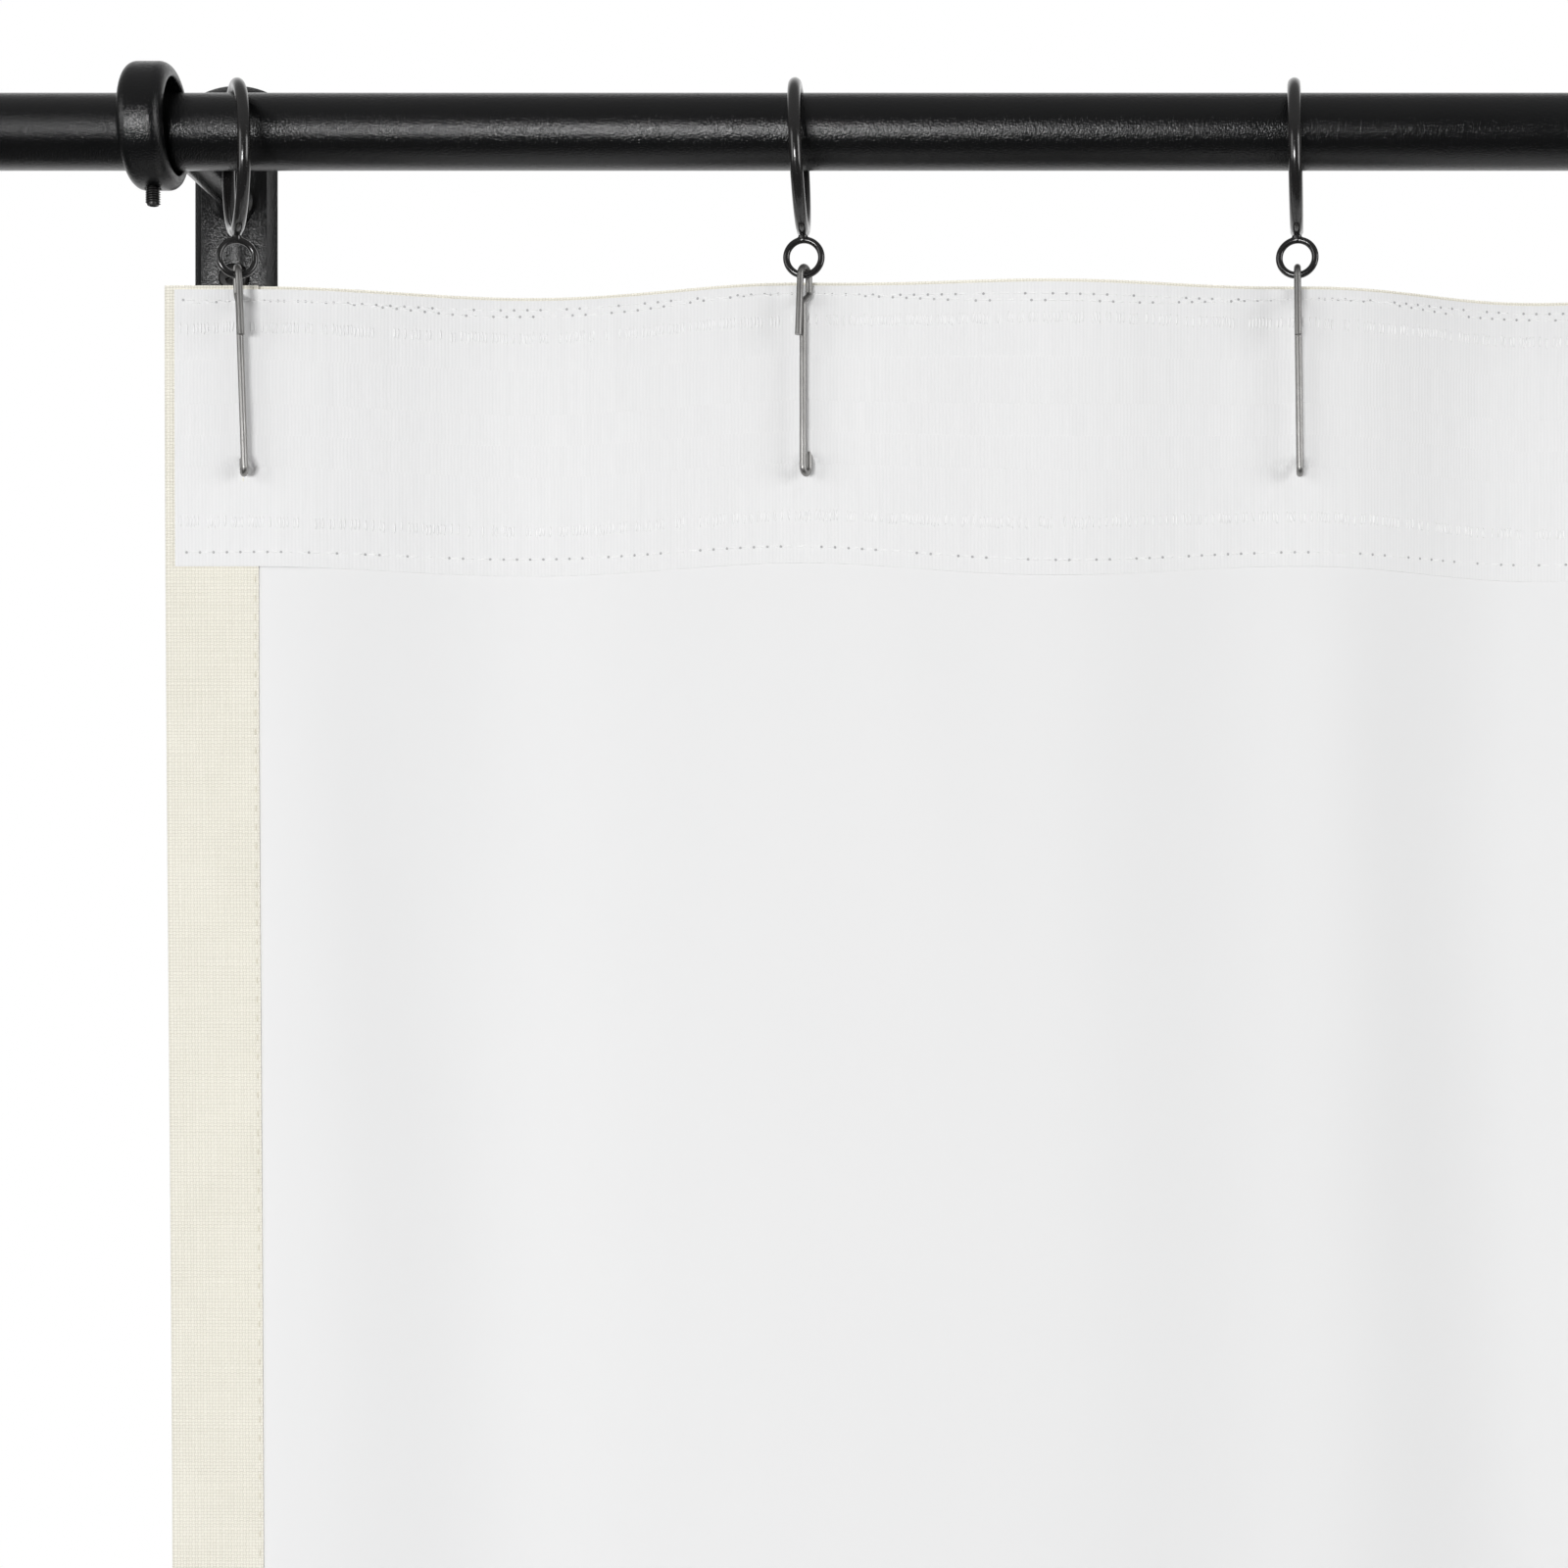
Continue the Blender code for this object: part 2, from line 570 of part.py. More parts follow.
def main():
    clear_scene()
    satin_black = finish_material("satin_black_paint", (0.012, 0.012, 0.013), 0.42, 0.0)
    gloss_black = finish_material("gloss_black_paint", (0.010, 0.010, 0.011), 0.22, 0.0)
    black_screw = finish_material("black_oxide_steel", (0.020, 0.020, 0.022), 0.35, 0.8)
    nickel = finish_material("bright_nickel", (0.62, 0.61, 0.59), 0.18, 1.0)
    cream = finish_material("cream_weave", (0.84, 0.80, 0.69), 0.9, 0.0)
    white_lining = finish_material("white_lining", (0.84, 0.84, 0.84), 0.85, 0.0)
    white_tape = finish_material("white_tape", (0.88, 0.88, 0.88), 0.8, 0.0)

    make_rod(satin_black)
    make_end_cap("rod_end_cap_left", -ROD_OVERHANG, -1, satin_black)
    make_end_cap("rod_end_cap_right", BRACKET_SPAN + ROD_OVERHANG, 1, satin_black)
    for side, x in (("left", 0.0), ("right", BRACKET_SPAN)):
        make_wall_plate(f"wall_plate_{side}", x, satin_black)
        make_bracket_arm(f"bracket_arm_{side}", x, satin_black)
        make_set_screw(f"set_screw_{side}", x, black_screw)
        for level, z in (("upper", SCREW_SPACING / 2), ("lower", -SCREW_SPACING / 2)):
            make_wall_screw(f"wall_screw_{side}_{level}", x, z, black_screw)

    hung = zip(RING_XS, RING_LEANS, RING_TURNS, HOOK_LEANS, HOOK_TURNS)
    for number, (x, ring_lean, ring_turn, hook_lean, hook_turn) in enumerate(hung, start=1):
        make_ring(number, x, ring_lean, ring_turn, gloss_black)
        make_eyelet(number, x, ring_lean, ring_turn, gloss_black)
        make_hook(number, x, ring_lean, hook_lean, hook_turn, nickel)
    make_panel(cream, white_lining, white_tape)


main()
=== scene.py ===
# %% [markdown]
# A lined curtain panel, hooked on rings, on a one-inch rod between two wall brackets.
# The exact model comes in as a fixed frame of simple solids. This lesson gives every piece its
# finished shape and surface, so that it looks like painted steel, bright wire and woven cloth.

import json
import math
import random

import bmesh
import bpy
import numpy as np
from mathutils import Matrix, Vector

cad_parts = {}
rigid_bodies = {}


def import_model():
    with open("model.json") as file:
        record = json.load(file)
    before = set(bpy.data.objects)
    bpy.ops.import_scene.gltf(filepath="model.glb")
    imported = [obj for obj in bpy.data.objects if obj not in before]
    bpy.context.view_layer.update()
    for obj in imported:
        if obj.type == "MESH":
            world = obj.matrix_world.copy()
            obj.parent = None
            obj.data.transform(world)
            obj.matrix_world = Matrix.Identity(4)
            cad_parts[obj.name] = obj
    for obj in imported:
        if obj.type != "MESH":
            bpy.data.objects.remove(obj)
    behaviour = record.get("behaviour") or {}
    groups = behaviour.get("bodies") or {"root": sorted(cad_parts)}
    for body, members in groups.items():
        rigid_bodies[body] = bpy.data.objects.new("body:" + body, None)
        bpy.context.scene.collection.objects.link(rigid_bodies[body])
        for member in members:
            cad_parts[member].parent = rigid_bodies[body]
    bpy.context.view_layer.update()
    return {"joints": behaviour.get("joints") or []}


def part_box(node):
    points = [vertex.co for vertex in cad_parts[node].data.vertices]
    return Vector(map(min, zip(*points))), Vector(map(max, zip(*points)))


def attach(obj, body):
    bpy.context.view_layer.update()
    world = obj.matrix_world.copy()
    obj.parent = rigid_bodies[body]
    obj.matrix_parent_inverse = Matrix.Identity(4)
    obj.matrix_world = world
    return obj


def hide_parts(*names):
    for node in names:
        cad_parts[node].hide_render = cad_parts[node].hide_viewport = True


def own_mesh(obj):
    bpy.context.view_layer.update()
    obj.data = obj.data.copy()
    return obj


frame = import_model()

# %% [markdown]
# Everything hangs from the rod, so the rod's box gives the main line of the scene. The joints
# give the points where the hooks swing, and those are the places of the rings too.

# %% Main lines
rod_low, rod_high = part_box("rod")
rod_axis = (rod_low + rod_high) / 2
rod_radius = (rod_high.z - rod_low.z) / 2
panel_low, panel_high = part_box("face_fabric")
swings = [j for j in frame["joints"] if j["name"].endswith("_swing")]
pivots = {int(j["parent"].split("_")[1]): Vector(j["pos_m"]) for j in swings}
bracket_xs = {side: sum(v.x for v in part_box(f"wall_plate_{side}")) / 2 for side in ("left", "right")}
print(len(pivots), "hooks; brackets at", bracket_xs)

# %% [markdown]
# The camera stands in the room at the height of the panel's upper part, a little below the rod,
# and looks straight at the wall. It could be aimed with a constraint, but a level camera keeps
# the upright edges upright. The picture keeps plain colours, so white cloth stays white.

# %% Camera
EYE_X = 0.2133
EYE_FROM_ROD = 0.745
EYE_BELOW_ROD = 0.2204
camera_data = bpy.data.cameras.new("room_camera")
camera_data.sensor_width = 36.0
camera_data.lens = 50.6
camera_data.clip_end = 60.0
camera = bpy.data.objects.new("room_camera", camera_data)
bpy.context.scene.collection.objects.link(camera)
camera.location = (EYE_X, rod_axis.y - EYE_FROM_ROD, rod_axis.z - EYE_BELOW_ROD)
camera.rotation_euler = (math.pi / 2, 0, 0)
bpy.context.scene.camera = camera
bpy.context.scene.view_settings.view_transform = "Standard"
print("camera at", [round(v, 4) for v in camera.location])

# %% [markdown]
# Shader maths reads best as plain arithmetic. The small class below wraps one output of a node
# and gives it the usual operators, so "1 - mask" adds the Math node by itself. Any other node
# comes from its one method "node", and the short methods under it name the ones used most.


# %% A wrapped shader socket
class Signal:
    def __init__(self, tree, socket):
        self.tree = tree
        self.socket = socket

    def node(self, kind, settings, values, output=0):
        """Adds a node: its settings first, then the values or links of its sockets."""
        made = self.tree.nodes.new(kind)
        for name, value in settings.items():
            setattr(made, name, value)
        for key, value in values.items():
            if isinstance(value, Signal):
                self.tree.links.new(value.socket, made.inputs[key])
            else:
                made.inputs[key].default_value = value
        return Signal(self.tree, made.outputs[output])

    def math(self, operation, first, second=0.0):
        return self.node("ShaderNodeMath", {"operation": operation}, {0: first, 1: second})

    def __add__(self, other): return self.math("ADD", self, other)
    def __radd__(self, other): return self.math("ADD", other, self)
    def __sub__(self, other): return self.math("SUBTRACT", self, other)
    def __rsub__(self, other): return self.math("SUBTRACT", other, self)
    def __mul__(self, other): return self.math("MULTIPLY", self, other)
    def __rmul__(self, other): return self.math("MULTIPLY", other, self)
    def __gt__(self, other): return self.math("GREATER_THAN", self, other)
    def __abs__(self): return self.math("ABSOLUTE", self)

    def sine(self):
        return self.math("SINE", self)

    def between(self, low, high):
        """0 below low, 1 above high, smooth between."""
        return self.node("ShaderNodeMapRange", {"interpolation_type": "SMOOTHSTEP"},
                         {"Value": self, "From Min": low, "From Max": high})

    def axis(self, number):
        """One of the three parts of a vector."""
        return self.node("ShaderNodeSeparateXYZ", {}, {0: self}, number)

    def colours(self, first, second):
        """Mixes two colours by this value."""
        return self.node("ShaderNodeMix", {"data_type": "RGBA"},
                         {"Factor": self, "A": first, "B": second}, 2)

    def noise(self, scale, detail=2.0, place=None):
        """Grey noise at a number of lumps per metre."""
        return self.node("ShaderNodeTexNoise", {},
                         {"Vector": place or self, "Scale": scale, "Detail": detail})

    def stretched(self, scale):
        """The place with each direction scaled, so that noise read from it is drawn out."""
        return self.node("ShaderNodeMapping", {}, {"Vector": self, "Scale": scale})


# %% [markdown]
# Black paint shows what is around it more than its own colour. The room behind the camera is
# therefore kept dim and the wall side is white. The key softbox stands a little to the left, at
# the camera's own height, and draws one soft line along the rod. Two wide banks far out at the
# sides light the cloth, where the rod cannot mirror them.

# %% Light
aim = Vector((0.45, rod_axis.y, rod_axis.z - 0.15))


def softbox(name, azimuth, elevation, distance, width, height, radiance):
    """An area light facing the curtain. Azimuth is in degrees to the left of straight on."""
    around, up = math.radians(azimuth), math.radians(elevation)
    away = Vector((-math.sin(around) * math.cos(up), -math.cos(around) * math.cos(up), math.sin(up)))
    lamp = bpy.data.lights.new(name, "AREA")
    lamp.shape = "RECTANGLE"
    lamp.size = width
    lamp.size_y = height
    lamp.energy = radiance * math.pi * width * height
    stand = bpy.data.objects.new(name, lamp)
    bpy.context.scene.collection.objects.link(stand)
    stand.location = aim + away * distance
    stand.rotation_euler = (-away).to_track_quat("-Z", "Y").to_euler()
    print(name, "at", [round(v, 2) for v in stand.location], round(lamp.energy), "W")


softbox("key_softbox", azimuth=21, elevation=-7, distance=4.2, width=1.3, height=0.72, radiance=32.0)
softbox("left_bank", azimuth=58, elevation=6, distance=4.0, width=2.2, height=2.2, radiance=2.3)
softbox("right_bank", azimuth=-58, elevation=6, distance=4.0, width=2.2, height=2.2, radiance=4.2)

# %% [markdown]
# The surroundings need no walls: a world colour that depends on the direction is enough. It is
# dim towards the floor and behind the camera, a little lighter overhead, and goes over to white
# on the wall's side.

# %% Room and floor
DIM_ROOM = 0.08
OVERHEAD_GAIN = 0.26
FLOOR_GAP = 0.012
world = bpy.data.worlds.new("studio")
bpy.context.scene.world = world
world.use_nodes = True
sky = world.node_tree
outlook = Signal(sky, sky.nodes.new("ShaderNodeTexCoord").outputs["Generated"])
room = DIM_ROOM + outlook.axis(2).between(-0.1, 1.0) * OVERHEAD_GAIN
wall_side = outlook.axis(1).between(0.40, 0.86)
brightness = room + (1 - room) * wall_side
sky.links.new(brightness.socket, sky.nodes["Background"].inputs["Color"])

bpy.ops.mesh.primitive_plane_add(size=1, location=(0.65, 0.05, panel_low.z - FLOOR_GAP))
floor = bpy.context.object
floor.scale = (3.4, 1.5, 1)
floor.name = "pale_floor"
print("floor", [round(v, 3) for v in floor.scale])

# %% [markdown]
# Every finish starts the same way: a material, its constants, and a signal of the place. What is
# the same all over a surface is set on the shader itself; only what varies gets nodes.


# %% Starting a finish
def new_finish(name, **constants):
    """A material with its constants set on the shader, and a signal of the place on the piece."""
    finish = bpy.data.materials.new(name)
    finish.use_nodes = True
    tree = finish.node_tree
    shader = tree.nodes["Principled BSDF"]
    for key, value in constants.items():
        shader.inputs[key.replace("_", " ")].default_value = value
    place = Signal(tree, tree.nodes.new("ShaderNodeTexCoord").outputs["Object"])
    return finish, shader, place


def connect(shader, name, signal):
    signal.tree.links.new(signal.socket, shader.inputs[name])


def bump(shader, height, distance, strength=1.0):
    """Lets a height in 0..1 shade the surface, as if it stood up by the distance."""
    relief = height.node("ShaderNodeBump", {},
                         {"Height": height, "Distance": distance, "Strength": strength})
    connect(shader, "Normal", relief)


# %% [markdown]
# The rod and brackets are powder coated. The powder melts into a skin with a fine orange peel,
# which breaks a reflection into speckles. Noise at the size of the peel drives both the bump
# and a small change of roughness.

# %% Satin black powder coat
satin_black, shader, place = new_finish("satin_black_powder_coat", Coat_Weight=0.0,
                                        Specular_IOR_Level=0.42)
peel = place.noise(1700, 2.0)
blotch = place.noise(60, 3.0)
connect(shader, "Base Color", blotch.colours((0.0030, 0.0032, 0.0035, 1), (0.0048, 0.0050, 0.0053, 1)))
connect(shader, "Roughness", 0.14 + blotch * 0.03 + peel * 0.06)
bump(shader, peel, 0.00018)

# %% [markdown]
# The rings are dipped enamel: smoother, with a wet gloss and a few fine dust pips.

# %% Gloss black enamel
gloss_black, shader, place = new_finish("gloss_black_enamel", Coat_Weight=0.3, Coat_Roughness=0.06)
dust = place.noise(1500, 1.0)
sag = place.noise(160, 2.0)
connect(shader, "Base Color", sag.colours((0.008, 0.008, 0.008, 1), (0.016, 0.015, 0.015, 1)))
connect(shader, "Roughness", 0.16 + sag * 0.06 + (dust > 0.68) * 0.2)
bump(shader, sag * 0.8 + dust * 0.2, 0.00004)

# %% [markdown]
# The screws are black oxide, a thin conversion of the steel itself rather than a paint. So the
# finish stays a metal, but a dark one whose tone and gloss cloud from place to place.

# %% Black oxide steel
black_oxide, shader, place = new_finish("black_oxide_on_steel", Metallic=0.85)
cloud = place.noise(420, 3.0)
connect(shader, "Base Color", cloud.colours((0.018, 0.018, 0.020, 1), (0.060, 0.058, 0.056, 1)))
connect(shader, "Roughness", 0.30 + cloud * 0.18)
bump(shader, cloud, 0.00002)

# %% [markdown]
# The hooks are drawn wire with bright nickel plate. Drawing leaves faint lines along the wire,
# so the noise is stretched along the height, where most of the wire runs.

# %% Bright nickel
nickel, shader, place = new_finish("bright_nickel_plate", Metallic=1.0)
draw_lines = place.noise(1.0, 2.0, place.stretched((2600, 2600, 90)))
tarnish = place.noise(130, 3.0)
connect(shader, "Base Color", tarnish.colours((0.24, 0.236, 0.23, 1), (0.38, 0.375, 0.366, 1)))
connect(shader, "Roughness", 0.33 + draw_lines * 0.14)
bump(shader, draw_lines, 0.000012)

# %% [markdown]
# A plain weave is one thread over, one under, in both directions. Two sine waves give the
# threads, and the sign of their product says which of the two lies on top. Linen yarn is
# uneven, so long thin noise along each thread swells and thins it. The colour follows the
# threads' height: shade is painted into the hollows of the weave and onto the thin parts of
# the yarn, and the crowns are painted lighter. The pattern reads the cloth's own flat
# measure, stored on its points in metres, so it follows every fold.


# %% Woven cloths
def cloth_measure(place):
    """The place on the flat cloth in metres: as a vector, then its two parts, across and down."""
    flat = place.node("ShaderNodeAttribute", {"attribute_name": "flat_place"}, {}, 1)
    return flat, flat.axis(0), flat.axis(1)


THREAD_PITCH = 0.00105
SLUB_WANDER = 2.2
cream_weave, shader, place = new_finish("cream_linen_weave", Sheen_Weight=0.25, Sheen_Roughness=0.5,
                                        Specular_IOR_Level=0.2)
flat, across, down = cloth_measure(place)
slub_down = flat.noise(1.0, 3.0, flat.stretched((950, 45, 1)))
slub_across = flat.noise(1.0, 3.0, flat.stretched((45, 950, 1)))
warp = (across * (math.pi / THREAD_PITCH) + slub_down * SLUB_WANDER).sine()
weft = (down * (math.pi / THREAD_PITCH) + slub_across * SLUB_WANDER).sine()
warp_on_top = (warp * weft) > 0.0
warp_height = abs(warp) * (0.55 + slub_down * 0.6)
weft_height = abs(weft) * (0.55 + slub_across * 0.6)
weave_height = warp_on_top * warp_height + (1 - warp_on_top) * weft_height
shade = flat.noise(28, 2.0)
# The weave's height sets part of the colour: painted shade in the hollows between threads, lighter on
# their crowns.
thread_tone_with_painted_shade = weave_height * 0.85 + shade * 0.35 + 0.12
connect(shader, "Base Color", thread_tone_with_painted_shade.colours((0.69, 0.658, 0.552, 1), (1.0, 0.970, 0.865, 1)))
connect(shader, "Roughness", 0.78 + weave_height * 0.15)
bump(shader, weave_height, 0.00016)
print("cream weave:", round(1 / THREAD_PITCH), "threads to the metre")

# %% [markdown]
# The lining is a close sateen: its threads are too fine to tell apart, and only a faint grain
# and the soft unevenness of pressed cotton remain.

# %% Lining sateen
WARP_GRAIN = 0.00032
WEFT_GRAIN = 0.00028
lining_sateen, shader, place = new_finish("white_lining_sateen", Sheen_Weight=0.12, Sheen_Roughness=0.4,
                                          Specular_IOR_Level=0.22)
flat, across, down = cloth_measure(place)
grain = (across * (math.pi / WARP_GRAIN)).sine() * (down * (math.pi / WEFT_GRAIN)).sine()
soft = flat.noise(9, 2.0)
connect(shader, "Base Color", soft.colours((0.878, 0.879, 0.881, 1), (0.896, 0.896, 0.897, 1)))
connect(shader, "Roughness", 0.68 + soft * 0.08)
bump(shader, grain * 0.5 + 0.5, 0.00002, 0.5)

# %% [markdown]
# Heading tape is woven with stout warp cords that show as fine upright ribs. The ribs are
# regular, but their light and dark wander a little, so noise stretched down the ribs tints them.
# The grooves between the ribs are painted darker in the colour as shade, and the crests lighter.

# %% Ribbed tape
RIB_PITCH = 0.00117
WEFT_PITCH = 0.0004
tape_weave, shader, place = new_finish("white_ribbed_tape", Sheen_Weight=0.1, Specular_IOR_Level=0.25)
flat, across, down = cloth_measure(place)
rib = abs((across * (math.pi / RIB_PITCH)).sine())
fine_weft = abs((down * (math.pi / WEFT_PITCH)).sine())
streak = flat.noise(1.0, 3.0, flat.stretched((420, 32, 1)))
# Part of the tape's colour is painted shade: darker in the grooves between ribs, lighter on their
# crests.
tape_tone_with_rib_shade = rib * 0.35 + streak * 0.65
connect(shader, "Base Color", tape_tone_with_rib_shade.colours((0.836, 0.837, 0.840, 1), (0.930, 0.930, 0.932, 1)))
connect(shader, "Roughness", 0.72 + streak * 0.12)
bump(shader, rib * 0.8 + fine_weft * 0.2, 0.00007, 0.7)

# %% [markdown]
# Sewing thread and the raised white floats of the tape are a brighter cotton, with its twist as
# stretched noise. The needle holes are only small shadows in the cloth, so grey spots do.

# %% Thread and needle holes
TWIST = (1800, 1800, 5200)
white_thread, shader, place = new_finish("white_cotton_thread", Specular_IOR_Level=0.3,
                                         Sheen_Weight=0.1)
twist = place.noise(1.0, 1.0, place.stretched(TWIST))
connect(shader, "Base Color", twist.colours((0.95, 0.95, 0.95, 1), (1.0, 1.0, 1.0, 1)))
connect(shader, "Roughness", 0.6 + twist * 0.2)

cream_thread, shader, place = new_finish("cream_cotton_thread", Specular_IOR_Level=0.3)
twist = place.noise(1.0, 1.0, place.stretched(TWIST))
connect(shader, "Base Color", twist.colours((0.72, 0.68, 0.56, 1), (0.92, 0.88, 0.76, 1)))
connect(shader, "Roughness", 0.6 + twist * 0.2)

hole_shadow, shader, place = new_finish("needle_hole_shadow", Roughness=0.9)
depth_grey = place.noise(900, 1.0)
connect(shader, "Base Color", depth_grey.colours((0.36, 0.36, 0.37, 1), (0.62, 0.62, 0.62, 1)))
print(len(bpy.data.materials), "materials so far")

# %% [markdown]
# Modelling by hand means: add a primitive, go into edit mode, choose faces or edges, and use an
# operator on them. These helpers do the choosing by place, since no one clicks here. Each piece
# is made about the world's origin and moved to its place only at the end.


# %% Bench helpers
def start_edit(piece):
    if bpy.context.object and bpy.context.object.mode == "EDIT":
        bpy.ops.object.mode_set(mode="OBJECT")
    bpy.ops.object.select_all(action="DESELECT")
    piece.select_set(True)
    bpy.context.view_layer.objects.active = piece
    bpy.ops.object.mode_set(mode="EDIT")
    bpy.ops.mesh.select_all(action="DESELECT")


def stop_edit():
    bpy.ops.object.mode_set(mode="OBJECT")


def pick(kind, test):
    """In edit mode, selects the faces, edges or verts whose middle passes the test."""
    bpy.ops.mesh.select_mode(type=kind.upper())
    bpy.ops.mesh.select_all(action="DESELECT")
    piece = bpy.context.edit_object
    cage = bmesh.from_edit_mesh(piece.data)
    groups = {"face": cage.faces, "edge": cage.edges, "vert": cage.verts}
    chosen = 0
    for part in groups[kind]:
        corners = [part.co] if kind == "vert" else [v.co for v in part.verts]
        if test(sum(corners, Vector()) / len(corners), part):
            part.select_set(True)
            chosen += 1
    bmesh.update_edit_mesh(piece.data)
    return chosen


def all_of(test):
    """A test on every corner of a face or edge."""
    return lambda middle, part: all(test(v.co) for v in part.verts)


def run_on(step):
    """Extrudes what is selected along a step."""
    bpy.ops.mesh.extrude_region_move(TRANSFORM_OT_translate={"value": step})


def widen(factors, centre):
    bpy.ops.transform.resize(value=factors, center_override=centre)


def settle(piece, matrix=None):
    """Puts the piece in its place, in its mesh, with the object left at the origin."""
    if bpy.context.object and bpy.context.object.mode == "EDIT":
        stop_edit()
    bpy.ops.object.select_all(action="DESELECT")
    piece.select_set(True)
    bpy.context.view_layer.objects.active = piece
    if matrix is not None:
        piece.matrix_world = matrix @ piece.matrix_world
    bpy.ops.object.transform_apply(location=True, rotation=True, scale=True)
    return piece


def close_up(piece, merge=1e-6):
    """Welds doubles and turns every face outwards."""
    start_edit(piece)
    bpy.ops.mesh.select_all(action="SELECT")
    bpy.ops.mesh.remove_doubles(threshold=merge)
    bpy.ops.mesh.normals_make_consistent(inside=False)
    stop_edit()


def apply_modifier(piece, kind, **settings):
    step = piece.modifiers.new(kind.lower(), kind)
    for key, value in settings.items():
        setattr(step, key, value)
    bpy.ops.object.select_all(action="DESELECT")
    piece.select_set(True)
    bpy.context.view_layer.objects.active = piece
    bpy.ops.object.modifier_apply(modifier=step.name)


def round_edges(piece, width, segments, sharper_than):
    """Bevels every edge that turns by more than an angle in degrees."""
    apply_modifier(piece, "BEVEL", width=width, segments=segments, limit_method="ANGLE",
                   angle_limit=math.radians(sharper_than))


def cut_with(piece, tool, operation="DIFFERENCE"):
    apply_modifier(piece, "BOOLEAN", operation=operation, solver="EXACT", object=tool)
    bpy.data.objects.remove(tool, do_unlink=True)


def fresh_copy(piece):
    twin = piece.copy()
    twin.data = piece.data.copy()
    bpy.context.scene.collection.objects.link(twin)
    return twin


def compare_boxes(piece, node):
    """Prints how far a piece's box reaches past its solid's box, in millimetres, side by side."""
    low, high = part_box(node)
    corners = [piece.matrix_world @ Vector(c) for c in piece.bound_box]
    out_low = [round((low[i] - min(c[i] for c in corners)) * 1000, 1) for i in range(3)]
    out_high = [round((max(c[i] for c in corners) - high[i]) * 1000, 1) for i in range(3)]
    print("   past", node, out_low, out_high)


def hand_over(piece, name, body, nodes, finish, smooth=35):
    """Names a finished piece, gives it its finish and body, and lets it stand for its nodes."""
    settle(piece)
    piece.name = name
    piece.data.materials.clear()
    piece.data.materials.append(finish)
    bpy.ops.object.shade_smooth_by_angle(angle=math.radians(smooth))
    for node in nodes:
        compare_boxes(piece, node)
    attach(piece, body)
    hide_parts(*nodes)
    print(name, len(piece.data.polygons), "faces")
    return piece


# %% [markdown]
# The rod is drawn tube. It could be two cylinders and a boolean, but a cylinder without ends and
# a Solidify wall is cleaner. A small bevel takes the edge off both ends.

# %% Rod
TUBE_WALL = 0.0012
rod_length = rod_high.x - rod_low.x
bpy.ops.mesh.primitive_cylinder_add(vertices=96, radius=rod_radius, depth=rod_length,
                                    end_fill_type="NOTHING", rotation=(0, math.pi / 2, 0))
tube = bpy.context.object
settle(tube)
apply_modifier(tube, "SOLIDIFY", thickness=TUBE_WALL, offset=-1)
round_edges(tube, 0.0002, 2, 60)
close_up(tube)
settle(tube, Matrix.Translation(rod_axis))
hand_over(tube, "steel_rod", "rod_and_brackets", ["rod"], satin_black)

# %% [markdown]
# Each end is closed by a plain plug. Its head starts as a short cylinder: the inner face is
# inset and extruded into the bore, the outer face gets a shallow dish, and the rim is bevelled
# round. Both ends are made in the same way, with the left one turned half round.

# %% End caps
CAP_HEAD_LENGTH = 0.009
CAP_PLUG_LENGTH = 0.014
PLUG_CLEARANCE = 0.0003
CAP_ROUNDING = 0.0022
for side, outward in (("left", -1), ("right", 1)):
    cap_low, cap_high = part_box(f"rod_end_cap_{side}")
    head_radius = (cap_high.z - cap_low.z) / 2
    bpy.ops.mesh.primitive_cylinder_add(vertices=96, radius=head_radius, depth=CAP_HEAD_LENGTH,
                                        location=(CAP_HEAD_LENGTH / 2, 0, 0),
                                        rotation=(0, math.pi / 2, 0))
    cap = bpy.context.object
    settle(cap)
    start_edit(cap)
    pick("face", lambda middle, face: face.normal.x < -0.9)
    bpy.ops.mesh.inset(thickness=head_radius - rod_radius + TUBE_WALL + PLUG_CLEARANCE)
    run_on((-CAP_PLUG_LENGTH, 0, 0))
    pick("face", lambda middle, face: face.normal.x > 0.9)
    bpy.ops.mesh.inset(thickness=0.004)
    bpy.ops.mesh.inset(thickness=0.0006, depth=-0.0004)
    pick("edge", all_of(lambda p: p.x > CAP_HEAD_LENGTH - 1e-5 and p.yz.length > head_radius - 1e-5))
    bpy.ops.mesh.bevel(offset=CAP_ROUNDING, segments=6)
    close_up(cap)
    outer = cap_high.x if outward > 0 else cap_low.x
    turn = Matrix.Rotation(0 if outward > 0 else math.pi, 4, "Z")
    settle(cap, Matrix.Translation((outer - outward * CAP_HEAD_LENGTH, rod_axis.y, rod_axis.z)) @ turn)
    hand_over(cap, f"rod_plug_{side}", "rod_and_brackets", [f"rod_end_cap_{side}"],
              satin_black)

# %% [markdown]
# The wall plate is a flat bar with arched ends. Circles cut out of a block would give the same
# outline with poor faces, so the outline is drawn first. A plane loses its two short sides, the
# corners are spun round each arch, the outline is filled and raised, and an inset with depth
# makes the long bevel round the front face.

